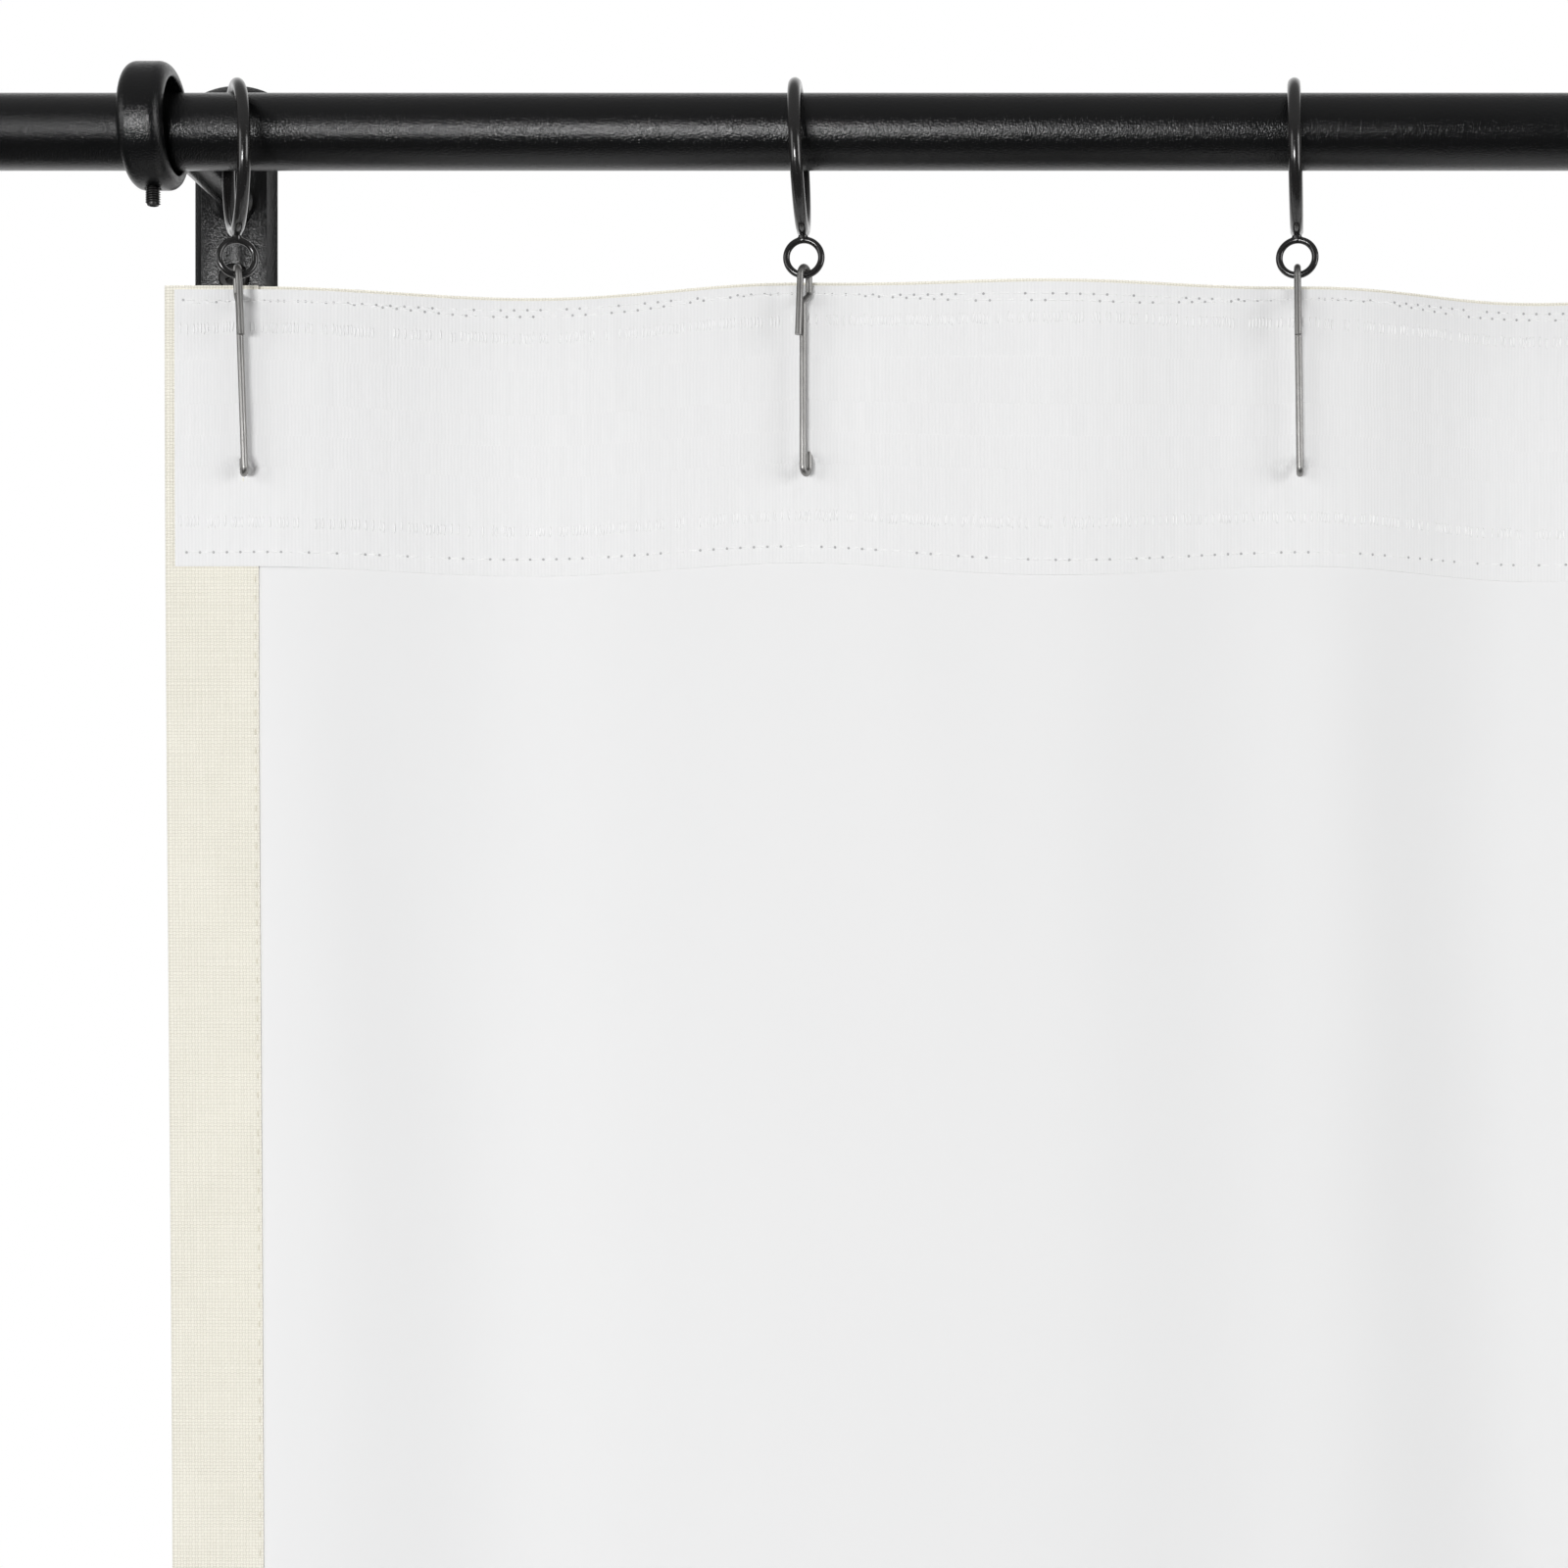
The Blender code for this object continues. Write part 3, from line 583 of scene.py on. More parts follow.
# %% Wall plates
ARCH_RADIUS = 0.030
PLATE_RIM = 0.001
PLATE_BEVEL = 0.0033
SCREW_HOLE_RADIUS = 0.0024
plate_low, plate_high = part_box("wall_plate_left")
plate_width = plate_high.x - plate_low.x
plate_height = plate_high.z - plate_low.z
plate_thickness = plate_high.y - plate_low.y
arch_centre = plate_height / 2 - ARCH_RADIUS
half_angle = math.asin(plate_width / 2 / ARCH_RADIUS)
corner_height = arch_centre + ARCH_RADIUS * math.cos(half_angle)
bpy.ops.mesh.primitive_plane_add(size=1, rotation=(math.pi / 2, 0, 0))
plate_maker = bpy.context.object
plate_maker.scale = (plate_width, corner_height * 2, 1)
settle(plate_maker)
start_edit(plate_maker)
bpy.ops.mesh.select_all(action="SELECT")
bpy.ops.mesh.delete(type="ONLY_FACE")
pick("edge", lambda middle, edge: abs(middle.z) > corner_height * 0.9)
bpy.ops.mesh.delete(type="EDGE")
for end in (1, -1):
    pick("vert", lambda middle, vert: middle.x * end > 0 and abs(middle.z - end * corner_height) < 1e-5)
    bpy.ops.mesh.spin(steps=16, angle=half_angle * 2, center=(0, 0, end * arch_centre),
                      axis=(0, 1, 0))
bpy.ops.mesh.select_all(action="SELECT")
bpy.ops.mesh.remove_doubles(threshold=1e-5)
bpy.ops.mesh.edge_face_add()
run_on((0, -PLATE_RIM, 0))
bpy.ops.mesh.normals_make_consistent(inside=False)
pick("face", lambda middle, face: middle.y < -PLATE_RIM * 0.9)
bpy.ops.mesh.inset(thickness=PLATE_BEVEL, depth=plate_thickness - PLATE_RIM)
close_up(plate_maker)
print("plate outline", len(plate_maker.data.vertices), "points",
      [round(v, 4) for v in plate_maker.dimensions])
for level in ("upper", "lower"):
    low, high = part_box(f"wall_screw_left_{level}")
    bpy.ops.mesh.primitive_cylinder_add(vertices=32, radius=SCREW_HOLE_RADIUS, depth=0.03,
                                        rotation=(math.pi / 2, 0, 0),
                                        location=(0, 0, (low.z + high.z) / 2))
    cut_with(plate_maker, bpy.context.object)
round_edges(plate_maker, 0.00035, 2, 28)
for side, x in bracket_xs.items():
    plate = fresh_copy(plate_maker)
    settle(plate, Matrix.Translation((x, 0, 0)))
    hand_over(plate, f"arched_plate_{side}", "rod_and_brackets", [f"wall_plate_{side}"],
              satin_black)
bpy.data.objects.remove(plate_maker, do_unlink=True)

# %% [markdown]
# The bracket is one casting. Its collar is a small rectangle spun about the rod's line after its
# outer corners are rounded, which gives a better rounding than a bevelled tube would. The spin
# leaves the rectangle itself inside the collar, so that face is taken out.

# %% Bracket collar
COLLAR_CLEARANCE = 0.0034
COLLAR_WALL = 0.005
COLLAR_WIDTH = 0.0153
COLLAR_SHIFT = 0.0003
COLLAR_RISE = 0.0019
COLLAR_ROUNDING = 0.0041
BORE_ROUNDING = 0.0006
bore = rod_radius + COLLAR_CLEARANCE
collar_z = rod_axis.z + COLLAR_RISE
bpy.ops.mesh.primitive_plane_add(size=1, rotation=(math.pi / 2, 0, 0))
collar = bpy.context.object
collar.scale = (COLLAR_WIDTH, COLLAR_WALL, 1)
collar.location = (COLLAR_SHIFT, 0, bore + COLLAR_WALL / 2)
settle(collar)
start_edit(collar)
pick("vert", lambda middle, vert: middle.z > bore + COLLAR_WALL / 2)
bpy.ops.mesh.bevel(offset=COLLAR_ROUNDING, segments=10, affect="VERTICES", profile=0.5)
pick("vert", lambda middle, vert: middle.z < bore + 1e-5)
bpy.ops.mesh.bevel(offset=BORE_ROUNDING, segments=3, affect="VERTICES")
bpy.ops.mesh.select_all(action="SELECT")
bpy.ops.mesh.spin(steps=96, angle=2 * math.pi, center=(0, 0, 0), axis=(1, 0, 0))
bpy.ops.mesh.select_all(action="SELECT")
bpy.ops.mesh.remove_doubles(threshold=1e-6)
left_inside = pick("face", lambda middle, face: len(face.verts) > 4)
bpy.ops.mesh.delete(type="ONLY_FACE")
close_up(collar)
settle(collar, Matrix.Translation((0, rod_axis.y, collar_z)))
print("collar", len(collar.data.polygons), "faces;", left_inside, "taken out of the inside")

# %% [markdown]
# The arm is a round bar that runs down and back to a flared foot on the plate. It starts as a
# thin disc inside the collar's wall, and extrude and resize carry its end face to the wall. A
# boolean joins it to the collar, and another opens the hole for the set screw.

# %% Bracket arms
ARM_RADIUS = 0.0039
ARM_START = 0.001
FOOT_RADIUS = 0.00805
FOOT_LENGTH = 0.0035
FOOT_GAP = 0.0003
FLARE_LENGTH = 0.004
FLARE_STEPS = 5
SET_HOLE_RADIUS = 0.0028
arm_start = Vector((0, rod_axis.y + bore + COLLAR_WALL / 2, collar_z))
arm_end = Vector((0, -(plate_thickness + FOOT_GAP), 0))
bpy.ops.mesh.primitive_cylinder_add(vertices=48, radius=ARM_RADIUS, depth=ARM_START,
                                    rotation=(math.pi / 2, 0, 0))
arm = bpy.context.object
settle(arm, Matrix.Translation(arm_start + Vector((0, ARM_START / 2, 0))))
start_edit(arm)
pick("face", lambda middle, face: face.normal.y > 0.9)
run = arm_end - arm_start
slope = Vector((0, 1, run.z / (run.y - FOOT_LENGTH)))
straight = run.y - FOOT_LENGTH - FLARE_LENGTH - ARM_START
run_on(slope * straight)
waist = arm_start + slope * (straight + ARM_START)


def flare_radius(share):
    return ARM_RADIUS + (FOOT_RADIUS - ARM_RADIUS) * share ** 2


for step in range(1, FLARE_STEPS + 1):
    share = step / FLARE_STEPS
    run_on(slope * (FLARE_LENGTH / FLARE_STEPS))
    growth = flare_radius(share) / flare_radius((step - 1) / FLARE_STEPS)
    widen((growth, 1, growth), waist + slope * (FLARE_LENGTH * share))
run_on((0, FOOT_LENGTH, 0))
close_up(arm)
cut_with(collar, arm, "UNION")
bpy.ops.mesh.primitive_cylinder_add(vertices=32, radius=SET_HOLE_RADIUS, depth=0.03,
                                    location=(0, rod_axis.y, collar_z - bore - 0.010))
cut_with(collar, bpy.context.object)
round_edges(collar, 0.0004, 3, 42)
print("bracket casting", len(collar.data.polygons), "faces")
for side, x in bracket_xs.items():
    casting = fresh_copy(collar)
    settle(casting, Matrix.Translation((x, 0, 0)))
    hand_over(casting, f"bracket_casting_{side}", "rod_and_brackets", [f"bracket_arm_{side}"],
              satin_black, smooth=30)
bpy.data.objects.remove(collar, do_unlink=True)

# %% [markdown]
# A thread is a ridge wound round a core. It could be cut out with a boolean, but that is slow and
# leaves poor faces. Here the Screw modifier winds a small triangle along the core; both are
# closed, and the ridge's foot sits just inside the core, so they read as one.


# %% Screw threads
def thread_ridge(core_radius, crest_radius, pitch, turns, start):
    """A closed helical ridge along +X, its foot a little inside the core."""
    foot_radius = core_radius * 0.97
    half_foot = pitch * 0.42
    corners = ((start - half_foot, 0, foot_radius), (start, 0, crest_radius),
               (start + half_foot, 0, foot_radius))
    bpy.ops.mesh.primitive_circle_add(vertices=3, radius=1, fill_type="NOTHING")
    ridge = bpy.context.object
    for vert, corner in zip(ridge.data.vertices, corners):
        vert.co = corner
    apply_modifier(ridge, "SCREW", axis="X", angle=2 * math.pi, screw_offset=pitch, iterations=turns,
                   steps=28, render_steps=28, use_merge_vertices=False)
    start_edit(ridge)
    bpy.ops.mesh.select_all(action="SELECT")
    bpy.ops.mesh.fill_holes(sides=3)
    close_up(ridge)
    return ridge


def join(pieces):
    bpy.ops.object.select_all(action="DESELECT")
    for piece in pieces:
        piece.select_set(True)
    bpy.context.view_layer.objects.active = pieces[0]
    bpy.ops.object.join()
    return pieces[0]


# %% [markdown]
# The set screw that clamps the rod has no head. Its core is a bevelled cylinder. The hexagon
# socket is cut with a boolean, because an inset of the round end can't give it six sides. It is
# modelled lying down and then turned so that the socket's end, the one that shows, is below.

# %% Set screws
SET_CORE_SHARE = 0.80
SOCKET_RADIUS = 0.00144
SOCKET_DEPTH = 0.0025
screw_low, screw_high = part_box("set_screw_left")
set_length = screw_high.z - screw_low.z
set_radius = (screw_high.x - screw_low.x) / 2
set_core = set_radius * SET_CORE_SHARE
bpy.ops.mesh.primitive_cylinder_add(vertices=36, radius=set_core, depth=set_length,
                                    location=(set_length / 2, 0, 0), rotation=(0, math.pi / 2, 0))
set_maker = bpy.context.object
settle(set_maker)
round_edges(set_maker, 0.0005, 2, 60)
bpy.ops.mesh.primitive_cylinder_add(vertices=6, radius=SOCKET_RADIUS, depth=SOCKET_DEPTH * 2,
                                    location=(set_length, 0, 0), rotation=(0, math.pi / 2, 0))
cut_with(set_maker, bpy.context.object)
ridge = thread_ridge(set_core, set_radius, pitch=0.0008, turns=13, start=0.0009)
set_maker = join([set_maker, ridge])
for side, x in bracket_xs.items():
    screw = fresh_copy(set_maker)
    down = Matrix.Rotation(math.pi / 2, 4, "Y")
    settle(screw, Matrix.Translation((x, rod_axis.y, screw_high.z)) @ down)
    hand_over(screw, f"threaded_set_screw_{side}", f"set_screw_{side}", [f"set_screw_{side}"],
              black_oxide)
bpy.data.objects.remove(set_maker, do_unlink=True)

# %% [markdown]
# The wall screws are pan-head wood screws. Head and shank are one mesh: the head is a short
# cylinder with a rounded rim, and its inner face is inset and extruded into a shank that narrows
# to a point. Two bars cut the cross into the head, and the ridge above makes the coarse thread.

# %% Wall screws
HEAD_RADIUS = 0.00575
HEAD_HEIGHT = 0.0030
SHANK_RADIUS = 0.0015
SHANK_LENGTH = 0.032
POINT_LENGTH = 0.005
CROSS_CUT = (0.003, 0.0055, 0.0011)
DRIVEN_TURNS = {"upper": 0.5, "lower": 1.05}
bpy.ops.mesh.primitive_cylinder_add(vertices=48, radius=HEAD_RADIUS, depth=HEAD_HEIGHT,
                                    location=(-HEAD_HEIGHT / 2, 0, 0), rotation=(0, math.pi / 2, 0))
wood_screw = bpy.context.object
settle(wood_screw)
start_edit(wood_screw)
pick("edge", all_of(lambda p: p.x < -HEAD_HEIGHT + 1e-5))
bpy.ops.mesh.bevel(offset=0.0021, segments=6)
pick("face", lambda middle, face: face.normal.x > 0.9 and middle.x > -1e-5)
bpy.ops.mesh.inset(thickness=HEAD_RADIUS - SHANK_RADIUS)
run_on((SHANK_LENGTH - POINT_LENGTH, 0, 0))
run_on((POINT_LENGTH, 0, 0))
widen((1, 0.15, 0.15), (SHANK_LENGTH, 0, 0))
close_up(wood_screw)
for turn in (0, math.pi / 2):
    bpy.ops.mesh.primitive_cube_add(size=1, location=(-HEAD_HEIGHT, 0, 0), rotation=(turn, 0, 0),
                                    scale=CROSS_CUT)
    cross_cutter = bpy.context.object
    settle(cross_cutter)
    cut_with(wood_screw, cross_cutter)
round_edges(wood_screw, 0.00012, 2, 50)
ridge = thread_ridge(SHANK_RADIUS, 0.0021, pitch=0.0018, turns=13, start=0.0028)
wood_screw = join([wood_screw, ridge])
for side in bracket_xs:
    for level, turn in DRIVEN_TURNS.items():
        node = f"wall_screw_{side}_{level}"
        low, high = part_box(node)
        middle = (low + high) / 2
        screw = fresh_copy(wood_screw)
        into_wall = Matrix.Rotation(math.pi / 2, 4, "Z") @ Matrix.Rotation(turn, 4, "X")
        head_place = Matrix.Translation((middle.x, -(plate_thickness + FOOT_GAP), middle.z))
        settle(screw, head_place @ into_wall)
        hand_over(screw, f"pan_head_{side}_{level}", "rod_and_brackets", [node],
                  black_oxide)
bpy.data.objects.remove(wood_screw, do_unlink=True)

# %% [markdown]
# Rings, eyelets and hooks hang with small turns and leans of their own, as they do once the
# cloth pulls on them. The lists give them ring by ring, in degrees.

# %% How each ring and hook hangs
RING_INNER = 0.0438
RING_WIRE = 0.0043
EYELET_OUTER = 0.0142
EYELET_WIRE = 0.00235
HOOK_WIRE = 0.0023
JOIN_GAP = 0.0003
RING_TURNS = (20, -4, -13.8, 9, -6, 12, -10, 7)
RING_LEANS = (0.7, 2.6, 1.0, -0.8, 1.4, 0.5, -1.2, 0.9)
HOOK_TURNS = (20, -28, -13.8, 14, -9, 16, -14, 8)
HOOK_LEANS = (2.0, 0.0, 0.7, -0.8, 0.9, 0.4, -1.0, 1.1)
eyelet_radius = (EYELET_OUTER - EYELET_WIRE) / 2
pivot_to_ring = EYELET_OUTER / 2 + eyelet_radius + JOIN_GAP + RING_WIRE + RING_INNER / 2


def hanging(number, lean, turn, above):
    """Frame of a piece that hangs through a hook's swing point, at a height above it."""
    swing = Matrix.Rotation(math.radians(-lean), 4, "Y")
    facing = Matrix.Rotation(math.radians(turn), 4, "Z")
    return Matrix.Translation(pivots[number]) @ swing @ facing @ Matrix.Translation((0, 0, above))


def ring_place(number, above):
    """Where a ring, or the eyelet under it, hangs."""
    return hanging(number, RING_LEANS[number - 1], RING_TURNS[number - 1], above)


def hook_place(number):
    return hanging(number, HOOK_LEANS[number - 1], HOOK_TURNS[number - 1], 0)


print("ring centres hang", round(pivot_to_ring * 1000, 2), "mm above the swing points")


# %% [markdown]
# A ring is a loop of round wire whose ends are butt welded at the foot. A torus is exactly that
# loop. At the weld the wire is a little flattened by the jaws, so the lowest segments are
# squeezed sideways. One ring is modelled, and every other is a copy with its own mesh.

# %% Rings
WELD_HALF_LENGTH = 0.0022
WELD_SQUEEZE = 0.94
bpy.ops.mesh.primitive_torus_add(major_radius=(RING_INNER + RING_WIRE) / 2, minor_radius=RING_WIRE / 2,
                                 major_segments=128, minor_segments=28, rotation=(0, math.pi / 2, 0))
ring_maker = bpy.context.object
settle(ring_maker)
start_edit(ring_maker)
pick("vert", lambda middle, vert: (middle.z < -RING_INNER / 2 * 0.995
                                   and abs(middle.y) < WELD_HALF_LENGTH))
widen((WELD_SQUEEZE, 1, 1), (0, 0, 0))
stop_edit()
for number in pivots:
    ring = fresh_copy(ring_maker)
    settle(ring, ring_place(number, pivot_to_ring))
    hand_over(ring, f"wire_ring_{number}", f"ring_{number}", [f"ring_{number}"],
              gloss_black, smooth=60)
bpy.data.objects.remove(ring_maker, do_unlink=True)

# %% [markdown]
# The eyelet is a smaller torus with a blob of weld on top, where it meets the ring. The blob is
# a squat cylinder; a fine remesh and a light smoothing run the two together as molten metal does.

# %% Eyelets
WELD_RADIUS = 0.00125
WELD_HEIGHT = 0.0018
WELD_SINK = 0.0004
bpy.ops.mesh.primitive_torus_add(major_radius=eyelet_radius, minor_radius=EYELET_WIRE / 2,
                                 major_segments=96, minor_segments=24, rotation=(math.pi / 2, 0, 0))
eyelet_maker = bpy.context.object
settle(eyelet_maker)
bpy.ops.mesh.primitive_cylinder_add(vertices=24, radius=WELD_RADIUS, depth=WELD_HEIGHT,
                                    location=(0, 0, EYELET_OUTER / 2 - WELD_SINK))
weld = bpy.context.object
settle(weld)
start_edit(weld)
pick("face", lambda middle, face: face.normal.z > 0.9)
widen((1.35, 1.1, 1), (0, 0, EYELET_OUTER / 2))
stop_edit()
cut_with(eyelet_maker, weld, "UNION")
apply_modifier(eyelet_maker, "REMESH", mode="VOXEL", voxel_size=0.00024, use_smooth_shade=True)
apply_modifier(eyelet_maker, "SMOOTH", factor=0.5, iterations=4)
for number in pivots:
    eyelet = fresh_copy(eyelet_maker)
    settle(eyelet, ring_place(number, eyelet_radius))
    hand_over(eyelet, f"welded_eyelet_{number}", f"ring_{number}", [f"eyelet_{number}"],
              gloss_black, smooth=80)
bpy.data.objects.remove(eyelet_maker, do_unlink=True)

# %% [markdown]
# A curtain hook is one length of wire. A curve with a round bevel would do, but a curve's bends
# are hard to make exact. So the section is drawn once as a circle at the end of the short front
# leg; then extrude runs it along each straight and spin takes it round each bend, in the order a
# wire former makes them. Depths and drops count from the swing point.

# %% Hooks
CROOK = 0.0031
SHIFT = 0.0044
DROP = 0.0669
TIP_REACH = 0.0047
TIP_DROP = 0.0209
JOG_TOP = 0.0052
JOG_ANGLE = 58.0
JOG_RADIUS = 0.0021
PRONG_TOP = 0.0125
TAPER_STEPS = ((0.0010, 0.75), (0.0005, 0.45))
crook_height = EYELET_WIRE / 2 + JOIN_GAP + HOOK_WIRE / 2 - CROOK
splay = math.atan2(TIP_REACH - CROOK, TIP_DROP + crook_height)
leg_direction = Vector((0, -math.sin(splay), -math.cos(splay)))
crook_centre = Vector((0, 0, crook_height))
crook_end = crook_centre + CROOK * Vector((0, -math.cos(splay), math.sin(splay)))
leg_length = (TIP_DROP + crook_end.z) / math.cos(splay)
tip = crook_end + leg_direction * leg_length


def bend(centre, degrees, steps):
    """Spins the open end round a centre in the hook's own plane; positive turns Y towards Z."""
    bpy.ops.mesh.spin(steps=steps, angle=math.radians(degrees), center=centre, axis=(-1, 0, 0))


bpy.ops.mesh.primitive_circle_add(vertices=20, radius=HOOK_WIRE / 2, fill_type="NGON")
hook_maker = bpy.context.object
settle(hook_maker, Matrix.Translation(tip) @ Matrix.Rotation(-splay, 4, "X"))
start_edit(hook_maker)
bpy.ops.mesh.select_all(action="SELECT")
run_on(-leg_direction * leg_length)
bend(crook_centre, -(180 - math.degrees(splay)), 18)
run_on((0, 0, -(crook_height + JOG_TOP)))
bend((0, CROOK - JOG_RADIUS, -JOG_TOP), -JOG_ANGLE, 6)
level = math.radians(JOG_ANGLE)
jog_run = (SHIFT - 2 * JOG_RADIUS * (1 - math.cos(level))) / math.sin(level)
run_on((0, -jog_run * math.sin(level), -jog_run * math.cos(level)))
shaft_y = CROOK - SHIFT
jog_bottom = JOG_TOP + 2 * JOG_RADIUS * math.sin(level) + jog_run * math.cos(level)
bend((0, shaft_y + JOG_RADIUS, -jog_bottom), JOG_ANGLE, 6)
foot_radius = SHIFT / 2
run_on((0, 0, -(DROP - foot_radius - jog_bottom)))
bend((0, shaft_y + foot_radius, -(DROP - foot_radius)), 180, 18)
prong_run = DROP - foot_radius - PRONG_TOP - sum(length for length, factor in TAPER_STEPS)
run_on((0, 0, prong_run))
for length, factor in TAPER_STEPS:
    run_on((0, 0, length))
    widen((factor, factor, 1), (0, CROOK, -PRONG_TOP))
close_up(hook_maker, 1e-7)
print("hook", [round(v * 1000, 2) for v in hook_maker.dimensions], "mm")
hook_bodies = {1: "curtain_on_hook_1", **{k: f"hook_{k}" for k in pivots if k > 1}}
for number in pivots:
    hook = fresh_copy(hook_maker)
    settle(hook, hook_place(number))
    hand_over(hook, f"wire_hook_{number}", hook_bodies[number], [f"hook_{number}"],
              nickel, smooth=40)
bpy.data.objects.remove(hook_maker, do_unlink=True)

# %% [markdown]
# Now the cloth. The panel is one stack of layers that all follow the same waves: flat at each
# hook, bulging towards the room or the wall between hooks, and falling in soft slanting folds
# below. A cloth simulation could find such a shape, but not the same one every time, so functions
# of the place lay it instead. They give the depth of the surface anywhere, and every layer lies
# at its own small distance behind the swing points.

# %% The hang of the cloth
HOOK_FLAT = 0.012
PINNED_SHARE = 0.6
WAVE_DEPTHS = (0.018, -0.012, 0.026, -0.014, 0.020, -0.011, 0.018)
HEADING_SLACK = (0.018, 0.042, 0.03, 0.045, 0.02, 0.05, 0.025)
LAYERS = {"row": 0.00466, "tape": 0.0050, "hem": 0.00575, "lining": 0.0063, "face": 0.00735}
EDGE_LEAN = 0.0028
EDGE_REACH = 0.09
panel_drop = panel_high.z - panel_low.z
hook_columns = [pivots[k].x + DROP * PINNED_SHARE * math.sin(math.radians(HOOK_LEANS[k - 1]))
                for k in sorted(pivots)]
print("the cloth is pinned at", [round(x, 3) for x in hook_columns])


def ease(t):
    t = np.clip(t, 0, 1)
    return t * t * (3 - 2 * t)


def wave(x, drop):
    """Depth of the cloth towards the wall at a place along the rod and a drop below the top."""
    depth = np.zeros_like(x)
    fade = 1 - 0.22 * ease((drop - 0.10) / 0.6)
    for left, right, size in zip(hook_columns, hook_columns[1:], WAVE_DEPTHS):
        start, end = left + HOOK_FLAT / 2, right - HOOK_FLAT / 2
        share = np.clip((x - start) / (end - start), 0, 1)
        depth += size * np.sin(math.pi * share) ** 2 * fade
    for number, column in enumerate(hook_columns):
        lean = 0.15 if number % 2 == 0 else 0.13
        width = 0.010 + 0.05 * np.clip(drop, 0, 0.6)
        across = (x - column - 0.004 - lean * np.clip(drop, 0, 0.9)) / width
        strength = 0.0014 * ease((drop - 0.06) / 0.10)
        depth += strength * across * np.exp(-across ** 2 / 2)
    slow = ease((drop - 0.45) / 0.9)
    depth += slow * 0.003 * np.sin(x * 21 + 1.1 + drop * 0.9)
    depth += slow * 0.0018 * np.sin(x * 47 + 2.4 - drop * 1.3)
    return depth


def lift(x):
    """Small rise of the cloth at the second hook, which is pinned a little lower in the tape."""
    return 0.0013 * np.exp(-((x - hook_columns[1]) / 0.045) ** 2)


def shift(x, drop):
    """The free side edges lean in a little as they fall."""
    left = np.exp(-(x - panel_low.x) / EDGE_REACH)
    right = np.exp(-(panel_high.x - x) / EDGE_REACH)
    return EDGE_LEAN * ease(drop / 0.5) * (left - right)


def slack(x, drop):
    """The drop of the cloth's points: between the hooks the heading hangs a little lower."""
    sag = np.zeros_like(x)
    for left, right, size in zip(hook_columns, hook_columns[1:], HEADING_SLACK):
        share = np.clip((x - left) / (right - left), 0, 1)
        sag += size * np.sin(math.pi * share) ** 2
    return drop * (1 + sag * (1 - ease((drop - 0.15) / 0.3)))


def pucker(x, drop):
    """The cloth is drawn in just under each hook's foot, with small rays out from it."""
    depth = np.zeros_like(x)
    for column, number in zip(hook_columns, sorted(pivots)):
        foot_drop = panel_high.z - pivots[number].z + DROP - 0.0005
        dx = (x - column) / 0.006
        dz = (drop - foot_drop) / 0.004
        ray = np.exp(-(dx ** 2) / 2 - dz ** 2 / 2)
        fan = np.exp(-((drop - foot_drop - 0.004) / 0.006) ** 2) * np.exp(-np.abs(dx) / 2)
        depth += 0.0007 * ray + 0.00035 * fan * np.cos(dx * 2.6)
    return depth


# %% [markdown]
# A hook's prong goes in just above its foot and up inside the tape, so the tape runs over it in
# a long low welt. The line of each prong comes from the hook's own place, turn and lean.

# %% The welts over the prongs
WELT_HEIGHT = 0.0033
WELT_WIDTH = 0.0058
prong_lines = []
for number in sorted(pivots):
    ends = (Vector((0, CROOK, -PRONG_TOP)), Vector((0, CROOK, -DROP)))
    prong_lines.append([hook_place(number) @ end for end in ends])


def welt(x, drop):
    """How far a prong pushes the tape towards the room."""
    raised = np.zeros_like(x)
    for top, foot in prong_lines:
        share = (panel_high.z - drop - foot.z) / (top.z - foot.z)
        prong_x = foot.x + (top.x - foot.x) * share
        along = ease((1.10 - share) / 0.1) * ease((share - 0.055) / 0.055)
        raised = np.maximum(raised, along * np.exp(-((x - prong_x) / WELT_WIDTH) ** 2))
    return WELT_HEIGHT * raised


def on_cloth(x, drop, depth):
    """World places of points given by x, drop and the layer's depth. Only the tape has welts."""
    over_prongs = depth < LAYERS["hem"] - 0.0004
    y = rod_axis.y + depth + wave(x, drop) + pucker(x, drop) - welt(x, drop) * over_prongs
    z = panel_high.z - slack(x, drop) + lift(x) * (1 - ease(drop / 0.5))
    return np.stack([x + shift(x, drop), y, z], axis=1)


# %% [markdown]
# A layer of cloth starts as a grid with one square for each few millimetres. Its points are laid
# on the hanging surface, and each also keeps its place on the flat cloth, which the weaves read.
# Solidify then gives the sheet its thickness. The finished layer rides on the first hook.


# %% Cloth from a grid
def cloth_grid(columns, rows, flat_size, lay):
    """A grid whose points are laid by a function of (across, down), both in metres."""
    bpy.ops.object.select_all(action="DESELECT")
    bpy.ops.mesh.primitive_grid_add(x_subdivisions=columns, y_subdivisions=rows, size=1)
    sheet = bpy.context.object
    count = len(sheet.data.vertices)
    flat = np.zeros(count * 3)
    sheet.data.vertices.foreach_get("co", flat)
    flat = flat.reshape(-1, 3)
    across = (flat[:, 0] + 0.5) * flat_size[0]
    down = (0.5 - flat[:, 1]) * flat_size[1]
    sheet.data.vertices.foreach_set("co", lay(across, down).ravel())
    kept = sheet.data.attributes.new("flat_place", "FLOAT_VECTOR", "POINT")
    kept.data.foreach_set("vector", np.stack([across, down, 0 * across], axis=1).ravel())
    print("grid", columns, "by", rows)
    sheet.data.update()
    return sheet


def thicken(sheet, thickness):
    apply_modifier(sheet, "SOLIDIFY", thickness=thickness, offset=0)
    close_up(sheet, 1e-8)


def hang(sheet, name, nodes, finish, smooth=70):
    """Finishes a layer: it rides on the first hook."""
    piece = hand_over(sheet, name, "curtain_on_hook_1", nodes, finish, smooth)
    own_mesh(piece)
    return piece

